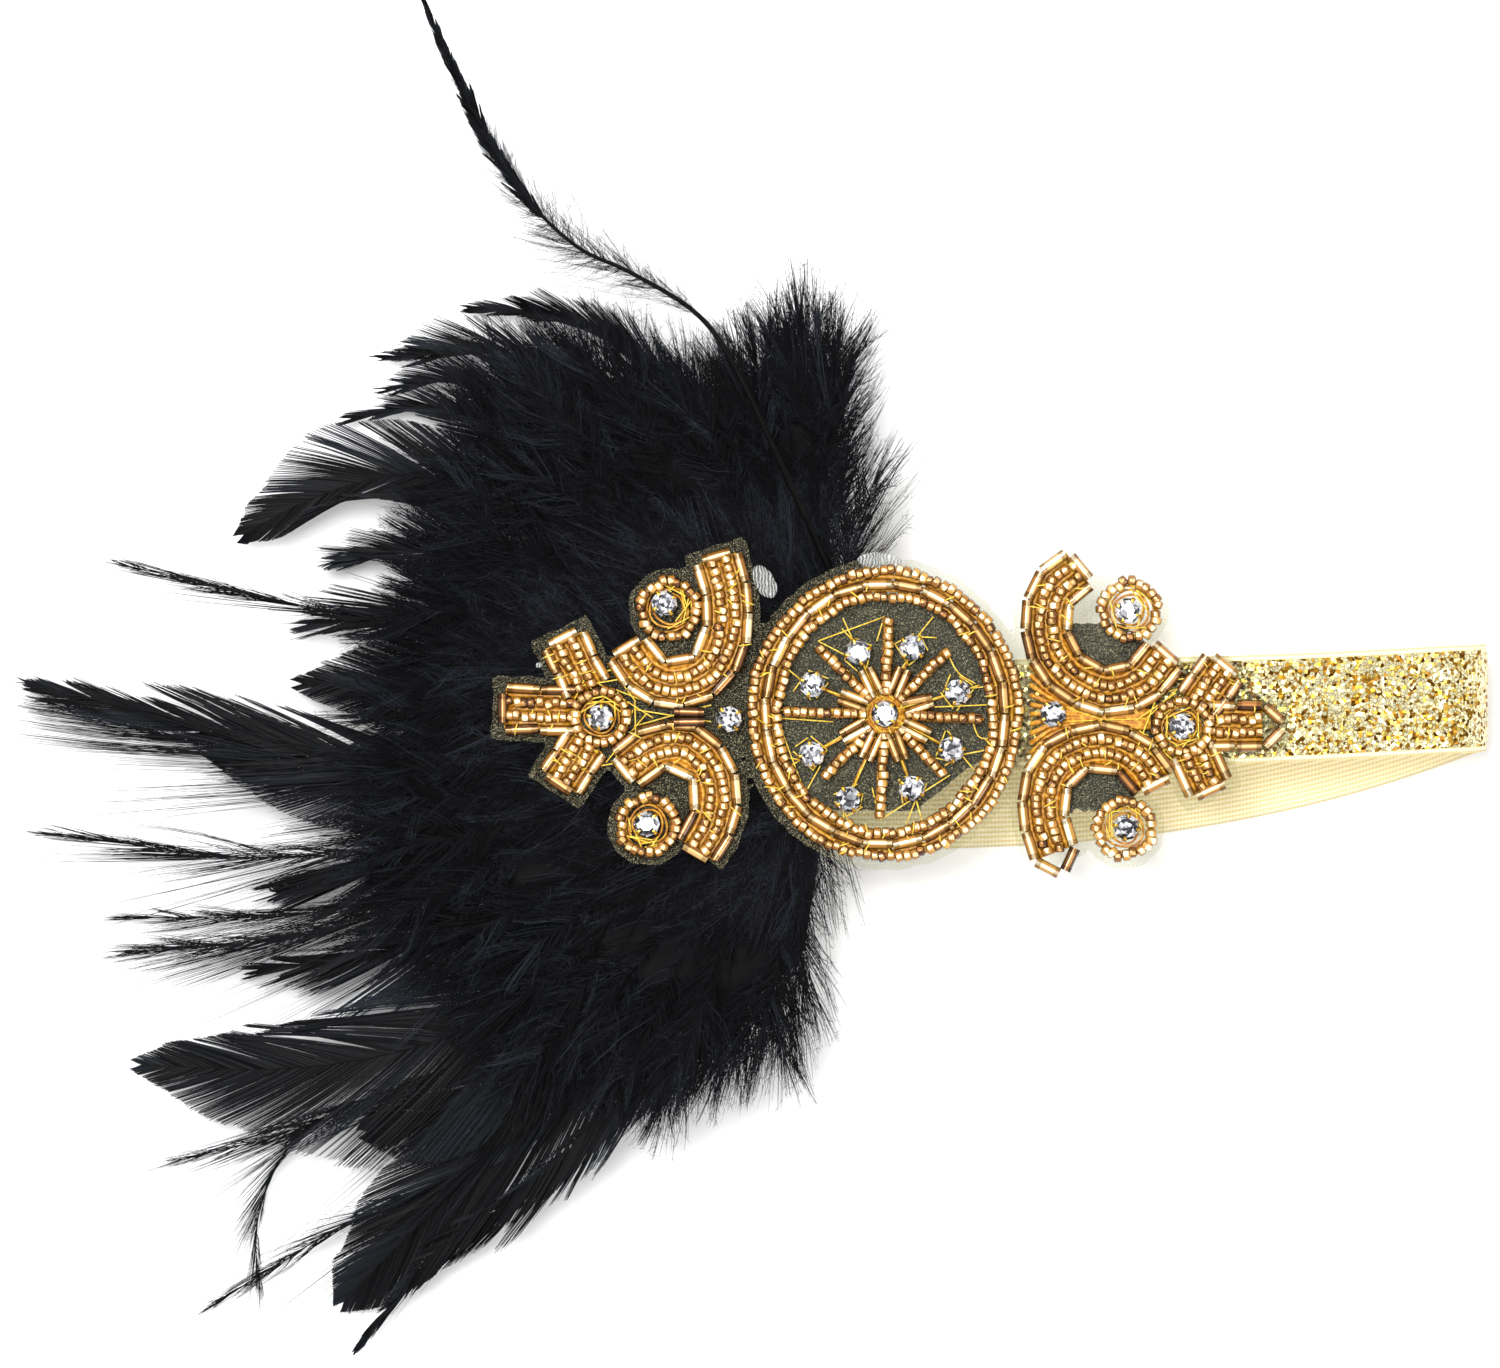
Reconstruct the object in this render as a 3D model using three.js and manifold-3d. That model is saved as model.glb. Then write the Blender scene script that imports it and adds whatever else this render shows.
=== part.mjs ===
// A 1920s style flapper headband as it lies on a table, bead side up: a loop of glitter elastic,
// a beaded applique of a round medallion between two scrolled fleurs, and a fan of black feathers
// held behind the medallion. Millimetres, +Z up, origin on the table under the middle of it all.
import * as THREE from "three";
import { mergeVertices } from "three/addons/utils/BufferGeometryUtils.js";
import Module from "manifold-3d";

const wasm = await Module();
wasm.setup();

// Elastic band
const bandWidth = 25;
const bandThickness = 1.2;
const loopRight = 141; // outside of the loop, from the medallion's axis
const loopLeft = 112;
const rightTurnRadius = 12; // of the band's middle line where it turns back under
const leftTurnRadius = 6;
const lowerWallShift = 19.2; // how far the lower wall lies towards the wearer's chin
const rightEndShift = 4; // of the whole band at its right end, away from the chin
const leftEndShift = -3;
const turnSteps = 10;
const lowerSteps = 16;
const upperSteps = 36;

// Layers, from the table up
const appliqueHeight = 29; // underside of the organza
const organzaThickness = 1;
const feltThickness = 1.2;
const rootHeadThickness = 1.2;
const layerGap = 0.3;

// Beads and stones
const seedDiameter = 2.2;
const bugleDiameter = 2.1;
const bugleLength = 6.7;
const bugleSpacing = 0.5; // between the ends of two bugles
const seedRowPitch = 2.9; // between two rows of seed beads
const bugleRowPitch = 8.8; // between the bugles on both sides of a strip
const ringPitch = 2.85; // between the medallion's three rings
const threadBed = 0.6; // couched thread under the beads
const stoneDiameter = 5.6;
const stoneHeight = 3.4;
const clawWidth = 0.9;
const tubeSides = 8;

// Medallion and fleurs
const medallionHalfWidth = 31.8;
const medallionHalfHeight = 34.2;
const fleurLength = 60; // from the medallion's edge to the tip of a fleur
const eyeRadius = 0.107 * fleurLength; // middle line of the ring of seeds at a scroll's end
const trefoilRadius = 0.1 * fleurLength;
const organzaMargin = 2;

// Felt pads
const padTop = 21;
const padBottom = -22;
const padLeft = -29;
const padRight = 24;
const fleurPadLeft = 38;
const fleurPadRight = 62;
const padCorner = 7; // cut off each corner of a pad
const padSlant = 17; // cut off the medallion pad's lower right corner
const wallGap = 2; // from a pad or the organza's tip to where the band's upper wall starts to step
const wallStep = 12; // run of that step

// Feathers
const rootX = -10; // where all quills meet, from the medallion's axis
const rootRadius = 13;
const vaneReach = 190;
const vaneWidth = 32;
const vaneThickness = 0.8;
const vaneTipRise = 10; // of a vane's tip over the table, at the most
const fluffReach = 115;
const fluffThickness = 13;
const fluffRise = 9; // of the down over the organza's underside, outside its outline
const fluffLocks = 13;
const fluffOverlap = 1.6; // width of a lock over its share of the fan
const hackleReach = 145;
const hackleWidth = 7; // across the soft barbs in the middle of its arch
const quillDiameter = 1.1;

const seedRadius = seedDiameter / 2;
const bugleRadius = bugleDiameter / 2;
const stripEdge = bugleRowPitch / 2 + bugleRadius;
const beadFloor = appliqueHeight + organzaThickness + layerGap;
const degrees = Math.PI / 180;
const smooth = THREE.MathUtils.smoothstep;

// Solids from geometries and back
function solidOf(geometry) {
  const bare = geometry.clone();
  for (const name of ["normal", "uv"]) bare.deleteAttribute(name);
  const merged = mergeVertices(bare, 1e-4);
  const triVerts = new Uint32Array(merged.index.array);
  const vertProperties = new Float32Array(merged.attributes.position.array);
  return new wasm.Manifold(new wasm.Mesh({ numProp: 3, vertProperties, triVerts }));
}

function geometryOf(solid) {
  const mesh = solid.getMesh();
  const position = new THREE.BufferAttribute(new Float32Array(mesh.vertProperties), 3);
  return new THREE.BufferGeometry()
    .setAttribute("position", position)
    .setIndex(new THREE.BufferAttribute(new Uint32Array(mesh.triVerts), 1));
}

function fuse(geometries) {
  return geometryOf(geometries.map(solidOf).reduce((all, one) => all.add(one)));
}

function signedVolume(positions, index) {
  const corner = (i) => new THREE.Vector3().fromArray(positions, 3 * index[i]);
  let sum = 0;
  for (let i = 0; i < index.length; i += 3) sum += corner(i).dot(corner(i + 1).cross(corner(i + 2)));
  return sum / 6;
}

// A closed body through rings of points. A ring's first point sees all its others, for the end caps.
function loft(rings, isLoop = false) {
  const count = rings[0].length;
  const positions = rings.flat().flatMap((p) => [p.x, p.y, p.z]);
  const index = [];
  for (let i = 0; i < rings.length - (isLoop ? 0 : 1); i++) {
    const here = i * count;
    const next = ((i + 1) % rings.length) * count;
    for (let k = 0; k < count; k++) {
      const after = (k + 1) % count;
      index.push(here + k, here + after, next + after, here + k, next + after, next + k);
    }
  }
  const last = (rings.length - 1) * count;
  for (let k = 1; k < count - 1 && !isLoop; k++) {
    index.push(0, k + 1, k, last, last + k, last + k + 1);
  }
  if (signedVolume(positions, index) < 0) index.reverse();
  return new THREE.BufferGeometry()
    .setAttribute("position", new THREE.Float32BufferAttribute(positions, 3))
    .setIndex(index);
}

function circle(count, radius, turn = 0) {
  return Array.from({ length: count }, (_, k) => {
    const angle = (2 * Math.PI * k) / count + turn;
    return [radius * Math.cos(angle), radius * Math.sin(angle)];
  });
}

function plate(outline, thickness, under) {
  const shape = new THREE.Shape(outline);
  return new THREE.ExtrudeGeometry(shape, { depth: thickness, bevelEnabled: false }).translate(0, 0, under);
}

// A flat route in the applique's plane that can be followed at any distance to its left
class Route {
  constructor(points) {
    this.points = points;
    this.normals = points.map((_, i) => {
      const ahead = points[Math.min(i + 1, points.length - 1)];
      const behind = points[Math.max(i - 1, 0)];
      const along = new THREE.Vector2().subVectors(ahead, behind).normalize();
      return new THREE.Vector2(-along.y, along.x);
    });
  }

  beside(offset) {
    return this.points.map((p, i) => p.clone().addScaledVector(this.normals[i], offset));
  }

  longer(extra) {
    const [first, last] = [this.points[0], this.points.at(-1)];
    const before = new THREE.Vector2().subVectors(first, this.points[1]).setLength(extra).add(first);
    const after = new THREE.Vector2().subVectors(last, this.points.at(-2)).setLength(extra).add(last);
    return new Route([before, ...this.points, after]);
  }

  static length(points) {
    return points.slice(1).reduce((sum, p, i) => sum + p.distanceTo(points[i]), 0);
  }

  // The point at a length along a list of points
  static at(points, length) {
    let left = length;
    for (let i = 1; i < points.length; i++) {
      const step = points[i].distanceTo(points[i - 1]);
      if (left <= step || i === points.length - 1) return points[i - 1].clone().lerp(points[i], left / step);
      left -= step;
    }
  }
}

// Bugle beads
function bugleBetween(from, to) {
  const run = new THREE.Vector2().subVectors(to, from);
  return new THREE.CylinderGeometry(bugleRadius, bugleRadius, run.length(), tubeSides)
    .rotateZ(Math.atan2(run.y, run.x) - Math.PI / 2)
    .translate((from.x + to.x) / 2, (from.y + to.y) / 2, beadFloor + bugleRadius);
}

// Bugles end to end beside a route, evenly shared out
function bugleRow(route, offset) {
  const points = route.beside(offset);
  const total = Route.length(points);
  const count = Math.max(1, Math.round((total + bugleSpacing) / (bugleLength + bugleSpacing)));
  const pitch = total / count;
  const half = (pitch - bugleSpacing) / 2;
  return Array.from({ length: count }, (_, i) => {
    const middle = (i + 0.5) * pitch;
    return bugleBetween(Route.at(points, middle - half), Route.at(points, middle + half));
  });
}

// The bugles that close the end of a strip: one straight across, or two that meet in a point
function endBugles(route, atEnd, pointed) {
  const tip = atEnd ? route.points.at(-1) : route.points[0];
  const across = atEnd ? route.normals.at(-1) : route.normals[0];
  const outward = new THREE.Vector2(across.y, -across.x).multiplyScalar(atEnd ? 1 : -1);
  const place = (side, out) => tip.clone().addScaledVector(across, side).addScaledVector(outward, out);
  const half = bugleRowPitch / 2;
  const reach = bugleLength / 2;
  if (!pointed) return [bugleBetween(place(-reach, bugleRadius / 2), place(reach, bugleRadius / 2))];
  const rise = Math.sqrt(bugleLength ** 2 - half ** 2);
  return [-half, half].map((side) => bugleBetween(place(side, bugleRadius / 2), place(side / 6, rise)));
}

// Two rows of seed beads side by side on their thread bed, as one low ridge with two humps
function seedRidge(route) {
  const row = seedRowPitch / 2;
  const half = [
    [bugleRowPitch / 2, 0],
    [bugleRowPitch / 2, threadBed],
    [row + seedRadius, threadBed],
    [row + 0.5 * seedRadius, seedDiameter],
    [row - 0.5 * seedRadius, seedDiameter],
  ];
  const section = [[0, 0], ...half, [0, seedRadius], ...half.toReversed().map(([side, up]) => [-side, up])];
  const rings = route.points.map((p, i) =>
    section.map(([side, up]) => {
      const spot = p.clone().addScaledVector(route.normals[i], side);
      return new THREE.Vector3(spot.x, spot.y, beadFloor + up);
    }),
  );
  return loft(rings);
}

function beadStrip(route, { startEnd = true, pointed = [false, false] } = {}) {
  const half = bugleRowPitch / 2;
  const pieces = [seedRidge(route), ...bugleRow(route, half), ...bugleRow(route, -half)];
  if (startEnd) pieces.push(...endBugles(route, false, pointed[0]));
  pieces.push(...endBugles(route, true, pointed[1]));
  return fuse(pieces);
}

// A closed tube along an ellipse, for a ring of seed beads
function seedRing(centre, halfWidth, halfHeight, steps) {
  const rings = circle(steps, 1).map(([c, s]) =>
    circle(tubeSides, seedRadius).map(([out, up]) => {
      const x = centre.x + (halfWidth + out) * c;
      const y = centre.y + (halfHeight + out) * s;
      return new THREE.Vector3(x, y, beadFloor + seedRadius + up);
    }),
  );
  return loft(rings, true);
}

// A cut stone with its table and eight facets, fused with the eight-sided cup that holds it
function claspedStone(centre) {
  const radius = stoneDiameter / 2;
  const girdle = stoneHeight * 0.6;
  const profile = [
    [0, 0],
    [radius, 0],
    [radius, girdle],
    [radius - clawWidth / 2, girdle],
    [radius * 0.55, stoneHeight],
    [0, stoneHeight],
  ].map(([out, up]) => new THREE.Vector2(out, up));
  const stone = new THREE.LatheGeometry(profile, 8).rotateX(Math.PI / 2);
  return stone.translate(centre.x, centre.y, beadFloor);
}

// Medallion
const ringInset = { outer: seedRadius, bugle: seedRadius + ringPitch, inner: seedRadius + 2 * ringPitch };
const spokeStart = 4.4;

function medallionBugles() {
  const halfWidth = medallionHalfWidth - ringInset.bugle;
  const halfHeight = medallionHalfHeight - ringInset.bugle;
  const around = Math.PI * (halfWidth + halfHeight);
  const count = Math.round(around / (bugleLength + bugleSpacing));
  const corners = circle(count, 1).map(([c, s]) => new THREE.Vector2(halfWidth * c, halfHeight * s));
  return fuse(corners.map((corner, i) => bugleBetween(corner, corners[(i + 1) % count])));
}

// Seed spokes, one to each angle in degrees, with their reach in shares of the medallion's half width
const seedSpokes = [
  { angle: 88, reach: 0.7 },
  { angle: 135, reach: 0.69 },
  { angle: 45, reach: 0.66 },
  { angle: -3, reach: 0.72 },
  { angle: -46, reach: 0.62 },
  { angle: -93, reach: 0.76 },
  { angle: -134, reach: 0.65 },
  { angle: 179, reach: 0.74 },
];

// Stones round the middle one: distance in shares of the medallion's half width. A short bugle points
// at each from the middle.
const medallionStones = [
  { angle: 113.5, orbit: 0.49 },
  { angle: 67.5, orbit: 0.52 },
  { angle: 17, orbit: 0.55 },
  { angle: -28, orbit: 0.54 },
  { angle: -70, orbit: 0.57 },
  { angle: -113.5, orbit: 0.67 },
  { angle: -151.5, orbit: 0.61 },
  { angle: 158, orbit: 0.57 },
];

function fromAngle(angle, distance) {
  return new THREE.Vector2(distance * Math.cos(angle * degrees), distance * Math.sin(angle * degrees));
}

// Seed spokes and short bugles round a ring of thread that leaves the middle stone free
function medallionStar() {
  const stoneRoom = stoneDiameter / 2 + clawWidth / 2 + layerGap;
  const section = [
    [stoneRoom, 0],
    [spokeStart + 1.5, 0],
    [spokeStart + 1.5, threadBed],
    [stoneRoom, threadBed],
  ];
  const hub = circle(16, 1).map(([c, s]) =>
    section.map(([out, up]) => new THREE.Vector3(out * c, out * s, beadFloor + up)),
  );
  const spokes = seedSpokes.map(({ angle, reach }) => {
    const length = reach * medallionHalfWidth - spokeStart;
    return new THREE.CylinderGeometry(seedRadius, seedRadius, length, tubeSides)
      .rotateZ(-Math.PI / 2)
      .translate(spokeStart + length / 2, 0, beadFloor + seedRadius)
      .rotateZ(angle * degrees);
  });
  const bugles = medallionStones.map(({ angle, orbit }) => {
    const free = orbit * medallionHalfWidth - stoneRoom - layerGap;
    const end = Math.min(spokeStart + bugleLength, free);
    return bugleBetween(fromAngle(angle, spokeStart), fromAngle(angle, end));
  });
  return fuse([loft(hub, true), ...spokes, ...bugles]);
}

// Scrolls of the fleurs, each along a curve through its points. A fleur's points are in shares of
// fleurLength: out from the medallion's edge, up from the medallion's middle.
const scrolls = [
  {
    name: "left_upper_scroll",
    side: -1,
    path: [
      { out: 0.125, up: 0.555 },
      { out: 0.082, up: 0.42 },
      { out: 0.09, up: 0.27 },
      { out: 0.168, up: 0.15 },
      { out: 0.3, up: 0.113 },
      { out: 0.405, up: 0.165 },
      { out: 0.462, up: 0.25 },
    ],
    pointed: [false, false],
  },
  {
    name: "left_lower_scroll",
    side: -1,
    path: [
      { out: 0.47, up: -0.21 },
      { out: 0.37, up: -0.135 },
      { out: 0.25, up: -0.118 },
      { out: 0.155, up: -0.19 },
      { out: 0.118, up: -0.31 },
      { out: 0.14, up: -0.43 },
      { out: 0.195, up: -0.525 },
    ],
    pointed: [false, false],
  },
  {
    name: "right_upper_scroll",
    side: 1,
    path: [
      { out: 0.215, up: 0.56 },
      { out: 0.12, up: 0.48 },
      { out: 0.09, up: 0.36 },
      { out: 0.115, up: 0.23 },
      { out: 0.215, up: 0.125 },
      { out: 0.34, up: 0.085 },
      { out: 0.46, up: 0.125 },
      { out: 0.545, up: 0.225 },
    ],
    pointed: [false, false],
  },
  {
    name: "right_lower_scroll",
    side: 1,
    path: [
      { out: 0.125, up: -0.535 },
      { out: 0.085, up: -0.42 },
      { out: 0.082, up: -0.3 },
      { out: 0.13, up: -0.19 },
      { out: 0.24, up: -0.13 },
      { out: 0.36, up: -0.13 },
      { out: 0.46, up: -0.19 },
      { out: 0.508, up: -0.265 },
    ],
    pointed: [true, false],
  },
];

// Rings of seeds at the scrolls' ends, with a stone in each that sits a little off the middle
const eyes = [
  { name: "left_upper_eye", side: -1, out: 0.303, up: 0.405, aside: 0.02 },
  { name: "left_lower_eye", side: -1, out: 0.384, up: -0.427, aside: 0.002 },
  { name: "right_upper_eye", side: 1, out: 0.412, up: 0.402, aside: -0.004 },
  { name: "right_lower_eye", side: 1, out: 0.392, up: -0.44, aside: 0.006 },
];

// The ring and three petals at the tip of a fleur; each petal starts inside the ring's beads
const trefoils = [
  {
    name: "left_trefoil",
    side: -1,
    out: 0.568,
    up: -0.012,
    petals: [
      { out: 0.708, up: 0.285, startOut: 0.618, startUp: 0.095, pointed: false },
      { out: 0.935, up: 0.022, startOut: 0.665, startUp: 0.012, pointed: false },
      { out: 0.723, up: -0.262, startOut: 0.622, startUp: -0.108, pointed: false },
    ],
  },
  {
    name: "right_trefoil",
    side: 1,
    out: 0.615,
    up: -0.047,
    petals: [
      { out: 0.775, up: 0.178, startOut: 0.672, startUp: 0.038, pointed: false },
      { out: 0.925, up: -0.046, startOut: 0.715, startUp: -0.045, pointed: true },
      { out: 0.72, up: -0.285, startOut: 0.65, startUp: -0.137, pointed: false },
    ],
  },
];
const waistStones = [
  { name: "left_waist_stone", side: -1, out: 0.072, up: -0.018 },
  { name: "right_waist_stone", side: 1, out: 0.118, up: 0 },
];

function fleurPoint(side, { out, up }) {
  return new THREE.Vector2(side * (medallionHalfWidth + out * fleurLength), up * fleurLength);
}

function scrollRoute({ side, path }) {
  const points = path.map((row) => fleurPoint(side, row)).map((p) => new THREE.Vector3(p.x, p.y, 0));
  const curve = new THREE.CatmullRomCurve3(points);
  return new Route(curve.getSpacedPoints(10).map((p) => new THREE.Vector2(p.x, p.y)));
}

function petalRoutes({ side, petals }) {
  return petals.map((petal) => {
    const start = fleurPoint(side, { out: petal.startOut, up: petal.startUp });
    return new Route([start, fleurPoint(side, petal)]);
  });
}

function beadTrefoil(trefoil) {
  const pieces = [seedRing(fleurPoint(trefoil.side, trefoil), trefoilRadius, trefoilRadius, 12)];
  petalRoutes(trefoil).forEach((route, i) => {
    pieces.push(beadStrip(route, { startEnd: false, pointed: [false, trefoil.petals[i].pointed] }));
  });
  return fuse(pieces);
}

// One sheet of organza cut round all the beadwork
function organza() {
  const edge = stripEdge + organzaMargin;
  const sheet = (outline) => plate(outline, organzaThickness, appliqueHeight);
  const oval = (centre, halfWidth, halfHeight, sides) =>
    sheet(circle(sides, 1).map(([c, s]) => new THREE.Vector2(halfWidth * c, halfHeight * s).add(centre)));
  const round = (centre, radius) => oval(centre, radius, radius, 12);
  const strip = (route) => {
    const long = route.longer(organzaMargin + bugleRadius);
    return sheet([...long.beside(edge), ...long.beside(-edge).reverse()]);
  };
  const middle = new THREE.Vector2();
  const pieces = [oval(middle, medallionHalfWidth + organzaMargin, medallionHalfHeight + organzaMargin, 32)];
  for (const scroll of scrolls) pieces.push(strip(scrollRoute(scroll)), sheet(scrollRoute(scroll).points));
  const border = seedRadius + organzaMargin;
  for (const eye of eyes) pieces.push(round(fleurPoint(eye.side, eye), eyeRadius + border));
  for (const trefoil of trefoils) {
    pieces.push(round(fleurPoint(trefoil.side, trefoil), trefoilRadius + border));
    pieces.push(...petalRoutes(trefoil).map(strip));
    const waist = [[-0.1, -1], [trefoil.out, -1], [trefoil.out, 1], [-0.1, 1]].map(([out, level]) =>
      fleurPoint(trefoil.side, { out, up: (level * edge) / fleurLength }),
    );
    pieces.push(sheet(waist));
  }
  return fuse(pieces);
}

// Felt under the organza: one pad behind the medallion with a corner left off, one behind a fleur
function medallionPad() {
  const outline = [
    [padLeft, padBottom + padCorner],
    [padLeft + padCorner, padBottom],
    [padRight - padSlant, padBottom],
    [padRight, padBottom + padSlant],
    [padRight, padTop - padCorner],
    [padRight - padCorner, padTop],
    [padLeft + padCorner, padTop],
    [padLeft, padTop - padCorner],
  ].map(([x, y]) => new THREE.Vector2(x, y));
  return plate(outline, feltThickness, appliqueHeight - layerGap - feltThickness);
}

function fleurPad() {
  const outline = [
    [fleurPadLeft, padBottom],
    [fleurPadRight - padCorner, padBottom],
    [fleurPadRight, padBottom + padCorner],
    [fleurPadRight, padTop - padCorner],
    [fleurPadRight - padCorner, padTop],
    [fleurPadLeft, padTop],
  ].map(([x, y]) => new THREE.Vector2(x, y));
  return plate(outline, feltThickness, appliqueHeight - layerGap - feltThickness);
}

// Height of the glitter side of the band's upper wall: lowest under the quills' roots, higher under
// the felt alone, highest where it carries the organza itself
const underOrganza = appliqueHeight - layerGap;
const underFelt = underOrganza - feltThickness - layerGap;
const underRoots = underFelt - 2 * (rootHeadThickness + layerGap);

function upperWallTop(x) {
  const leftEnd = bandThickness + 2 * leftTurnRadius;
  const rightEnd = bandThickness + 2 * rightTurnRadius;
  const rootLeft = rootX - rootRadius;
  const rootRight = rootX + rootRadius + wallGap;
  const tip = medallionHalfWidth + fleurLength;
  let top = underRoots;
  top += (leftEnd - underRoots) * smooth(-x, -rootLeft, loopLeft - leftTurnRadius);
  top += (underFelt - underRoots) * smooth(x, rootRight, padRight - wallGap);
  top += (underOrganza - underFelt) * smooth(x, fleurPadRight + wallGap, fleurPadRight + wallStep);
  top += (rightEnd - underOrganza) * smooth(x, tip + wallGap, loopRight - rightTurnRadius);
  return top;
}

const wallBend = 2.4; // how late the walls close in on each other towards the loop's ends
function wallShift(x, middleShift) {
  const end = x > 0 ? rightEndShift : leftEndShift;
  const share = (x > 0 ? x / loopRight : -x / loopLeft) ** wallBend;
  return middleShift * (1 - share) + end * share;
}

// The band's middle line once round: along the lower wall, up the right turn and back on top
function elasticBand() {
  const half = bandThickness / 2;
  const rightCentre = loopRight - half - rightTurnRadius;
  const leftCentre = -loopLeft + half + leftTurnRadius;
  const stations = [];
  const wall = (from, to, steps, middleShift, heightAt) => {
    for (let i = 0; i < steps; i++) {
      const x = from + ((to - from) * i) / steps;
      stations.push(new THREE.Vector3(x, wallShift(x, middleShift), heightAt(x)));
    }
  };
  const turn = (centre, radius, from, rising) => {
    for (let i = 0; i < turnSteps; i++) {
      const turned = (Math.PI * i) / turnSteps;
      const x = centre + radius * Math.cos(from + turned);
      const upper = rising ? (1 - Math.cos(turned)) / 2 : (1 + Math.cos(turned)) / 2;
      const y = wallShift(x, -lowerWallShift * (1 - upper));
      stations.push(new THREE.Vector3(x, y, half + radius + radius * Math.sin(from + turned)));
    }
  };
  wall(leftCentre, rightCentre, lowerSteps, -lowerWallShift, () => half);
  turn(rightCentre, rightTurnRadius, -Math.PI / 2, true);
  wall(rightCentre, leftCentre, upperSteps, 0, (x) => upperWallTop(x) - half);
  turn(leftCentre, leftTurnRadius, Math.PI / 2, false);
  const rings = stations.map((p, i) => {
    const ahead = stations[(i + 1) % stations.length];
    const behind = stations[(i + stations.length - 1) % stations.length];
    const out = new THREE.Vector3(ahead.z - behind.z, 0, behind.x - ahead.x).setLength(half);
    return [[-1, -1], [1, -1], [1, 1], [-1, 1]].map(([across, outward]) =>
      p.clone().addScaledVector(out, outward).add(new THREE.Vector3(0, (across * bandWidth) / 2, 0)),
    );
  });
  return loft(rings, true);
}

// Vane feathers: direction in degrees, reach and width in shares of vaneReach and vaneWidth, bow to the
// left in shares of the reach, and rise of the tip over the table in shares of vaneTipRise
const vanes = [
  { angle: 177.9, reach: 1.02, width: 0.66, bow: 0.06, tip: 0 },
  { angle: 163.6, reach: 0.77, width: 0.66, bow: -0.16, tip: 0.9 },
  { angle: 149, reach: 0.71, width: 0.42, bow: -0.03, tip: 0.6 },
  { angle: 142.6, reach: 0.72, width: 0.42, bow: -0.05, tip: 0.4 },
  { angle: 133, reach: 0.68, width: 0.32, bow: -0.08, tip: 0.6 },
  { angle: 206.2, reach: 0.98, width: 1.05, bow: 0.12, tip: 0.3 },
  { angle: 229.9, reach: 0.97, width: 0.94, bow: 0.05, tip: 0 },
  { angle: 237, reach: 0.8, width: 0.66, bow: 0.06, tip: 0.5 },
  { angle: 232.7, reach: 1, width: 0.22, bow: 0.09, tip: 0.2 },
  { angle: 188.5, reach: 1, width: 0.3, bow: 0.04, tip: 0.3 },
  { angle: 197.5, reach: 0.94, width: 0.4, bow: 0.05, tip: 0 },
  { angle: 168.3, reach: 0.91, width: 0.22, bow: 0, tip: 0.6 },
  { angle: 223.2, reach: 1.08, width: 0.16, bow: 0.07, tip: 0.1 },
];
const vaneOutline = [
  { along: 0, width: 0.08 },
  { along: 0.1, width: 0.1 },
  { along: 0.25, width: 0.3 },
  { along: 0.45, width: 0.75 },
  { along: 0.65, width: 1 },
  { along: 0.85, width: 0.7 },
  { along: 1, width: 0.06 },
];

// Underside of a vane at a distance from the root, for its reach and the height of its tip
const vaneRootUnder = underRoots + layerGap;
const vaneDroop = 1.75;
function vaneUnder(distance, reach, tip) {
  const share = Math.max(0, distance - rootRadius) / (reach - rootRadius);
  return vaneRootUnder + (tip * vaneTipRise - vaneRootUnder) * Math.min(1, share) ** vaneDroop;
}

function vane({ angle, reach, width, bow, tip }) {
  const length = reach * vaneReach;
  const along = fromAngle(angle, 1);
  const left = new THREE.Vector2(-along.y, along.x);
  const root = new THREE.Vector2(rootX, 0);
  const route = new Route(
    vaneOutline.map((row) => {
      const aside = 4 * bow * length * row.along * (1 - row.along);
      return root.clone().addScaledVector(along, row.along * length).addScaledVector(left, aside);
    }),
  );
  const rings = vaneOutline.map((row, i) => {
    const half = (row.width * width * vaneWidth) / 2 + quillDiameter / 4;
    const under = vaneUnder(row.along * length, length, tip);
    const section = [[0, 0], [half, 0.35], [0, 1], [-half, 0.35]];
    return section.map(([side, share]) => {
      const spot = route.points[i].clone().addScaledVector(route.normals[i], side);
      return new THREE.Vector3(spot.x, spot.y, under + share * vaneThickness);
    });
  });
  return loft(rings);
}

// The glued knot that a layer of feathers grows from
function rootHead(under) {
  return new THREE.CylinderGeometry(rootRadius, rootRadius, rootHeadThickness, 20)
    .rotateX(Math.PI / 2)
    .translate(rootX, 0, under + rootHeadThickness / 2);
}

// Reach of the down round the root, in shares of fluffReach at an angle in degrees
const fluffOutline = [
  { angle: 80, reach: 0.38 },
  { angle: 88, reach: 0.8 },
  { angle: 105, reach: 0.85 },
  { angle: 112, reach: 0.76 },
  { angle: 125, reach: 0.98 },
  { angle: 136, reach: 1.07 },
  { angle: 150, reach: 0.96 },
  { angle: 172, reach: 0.89 },
  { angle: 188, reach: 0.95 },
  { angle: 200, reach: 1.06 },
  { angle: 231, reach: 1.02 },
  { angle: 246, reach: 0.93 },
  { angle: 258, reach: 0.76 },
  { angle: 267, reach: 0.56 },
  { angle: 274, reach: 0.34 },
];
const lockSections = [
  { along: 0.04, width: 0.25, thick: 0.1 },
  { along: 0.32, width: 0.7, thick: 0.5 },
  { along: 0.65, width: 1, thick: 1 },
  { along: 0.88, width: 0.75, thick: 0.7 },
  { along: 1, width: 0.12, thick: 0.12 },
];
const fluffRootUnder = vaneRootUnder + rootHeadThickness + layerGap;

function fluffReachAt(angle) {
  const after = Math.max(1, fluffOutline.findIndex((row) => row.angle >= angle));
  const [a, b] = [fluffOutline[after - 1], fluffOutline[after]];
  return fluffReach * THREE.MathUtils.mapLinear(angle, a.angle, b.angle, a.reach, b.reach);
}

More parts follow.
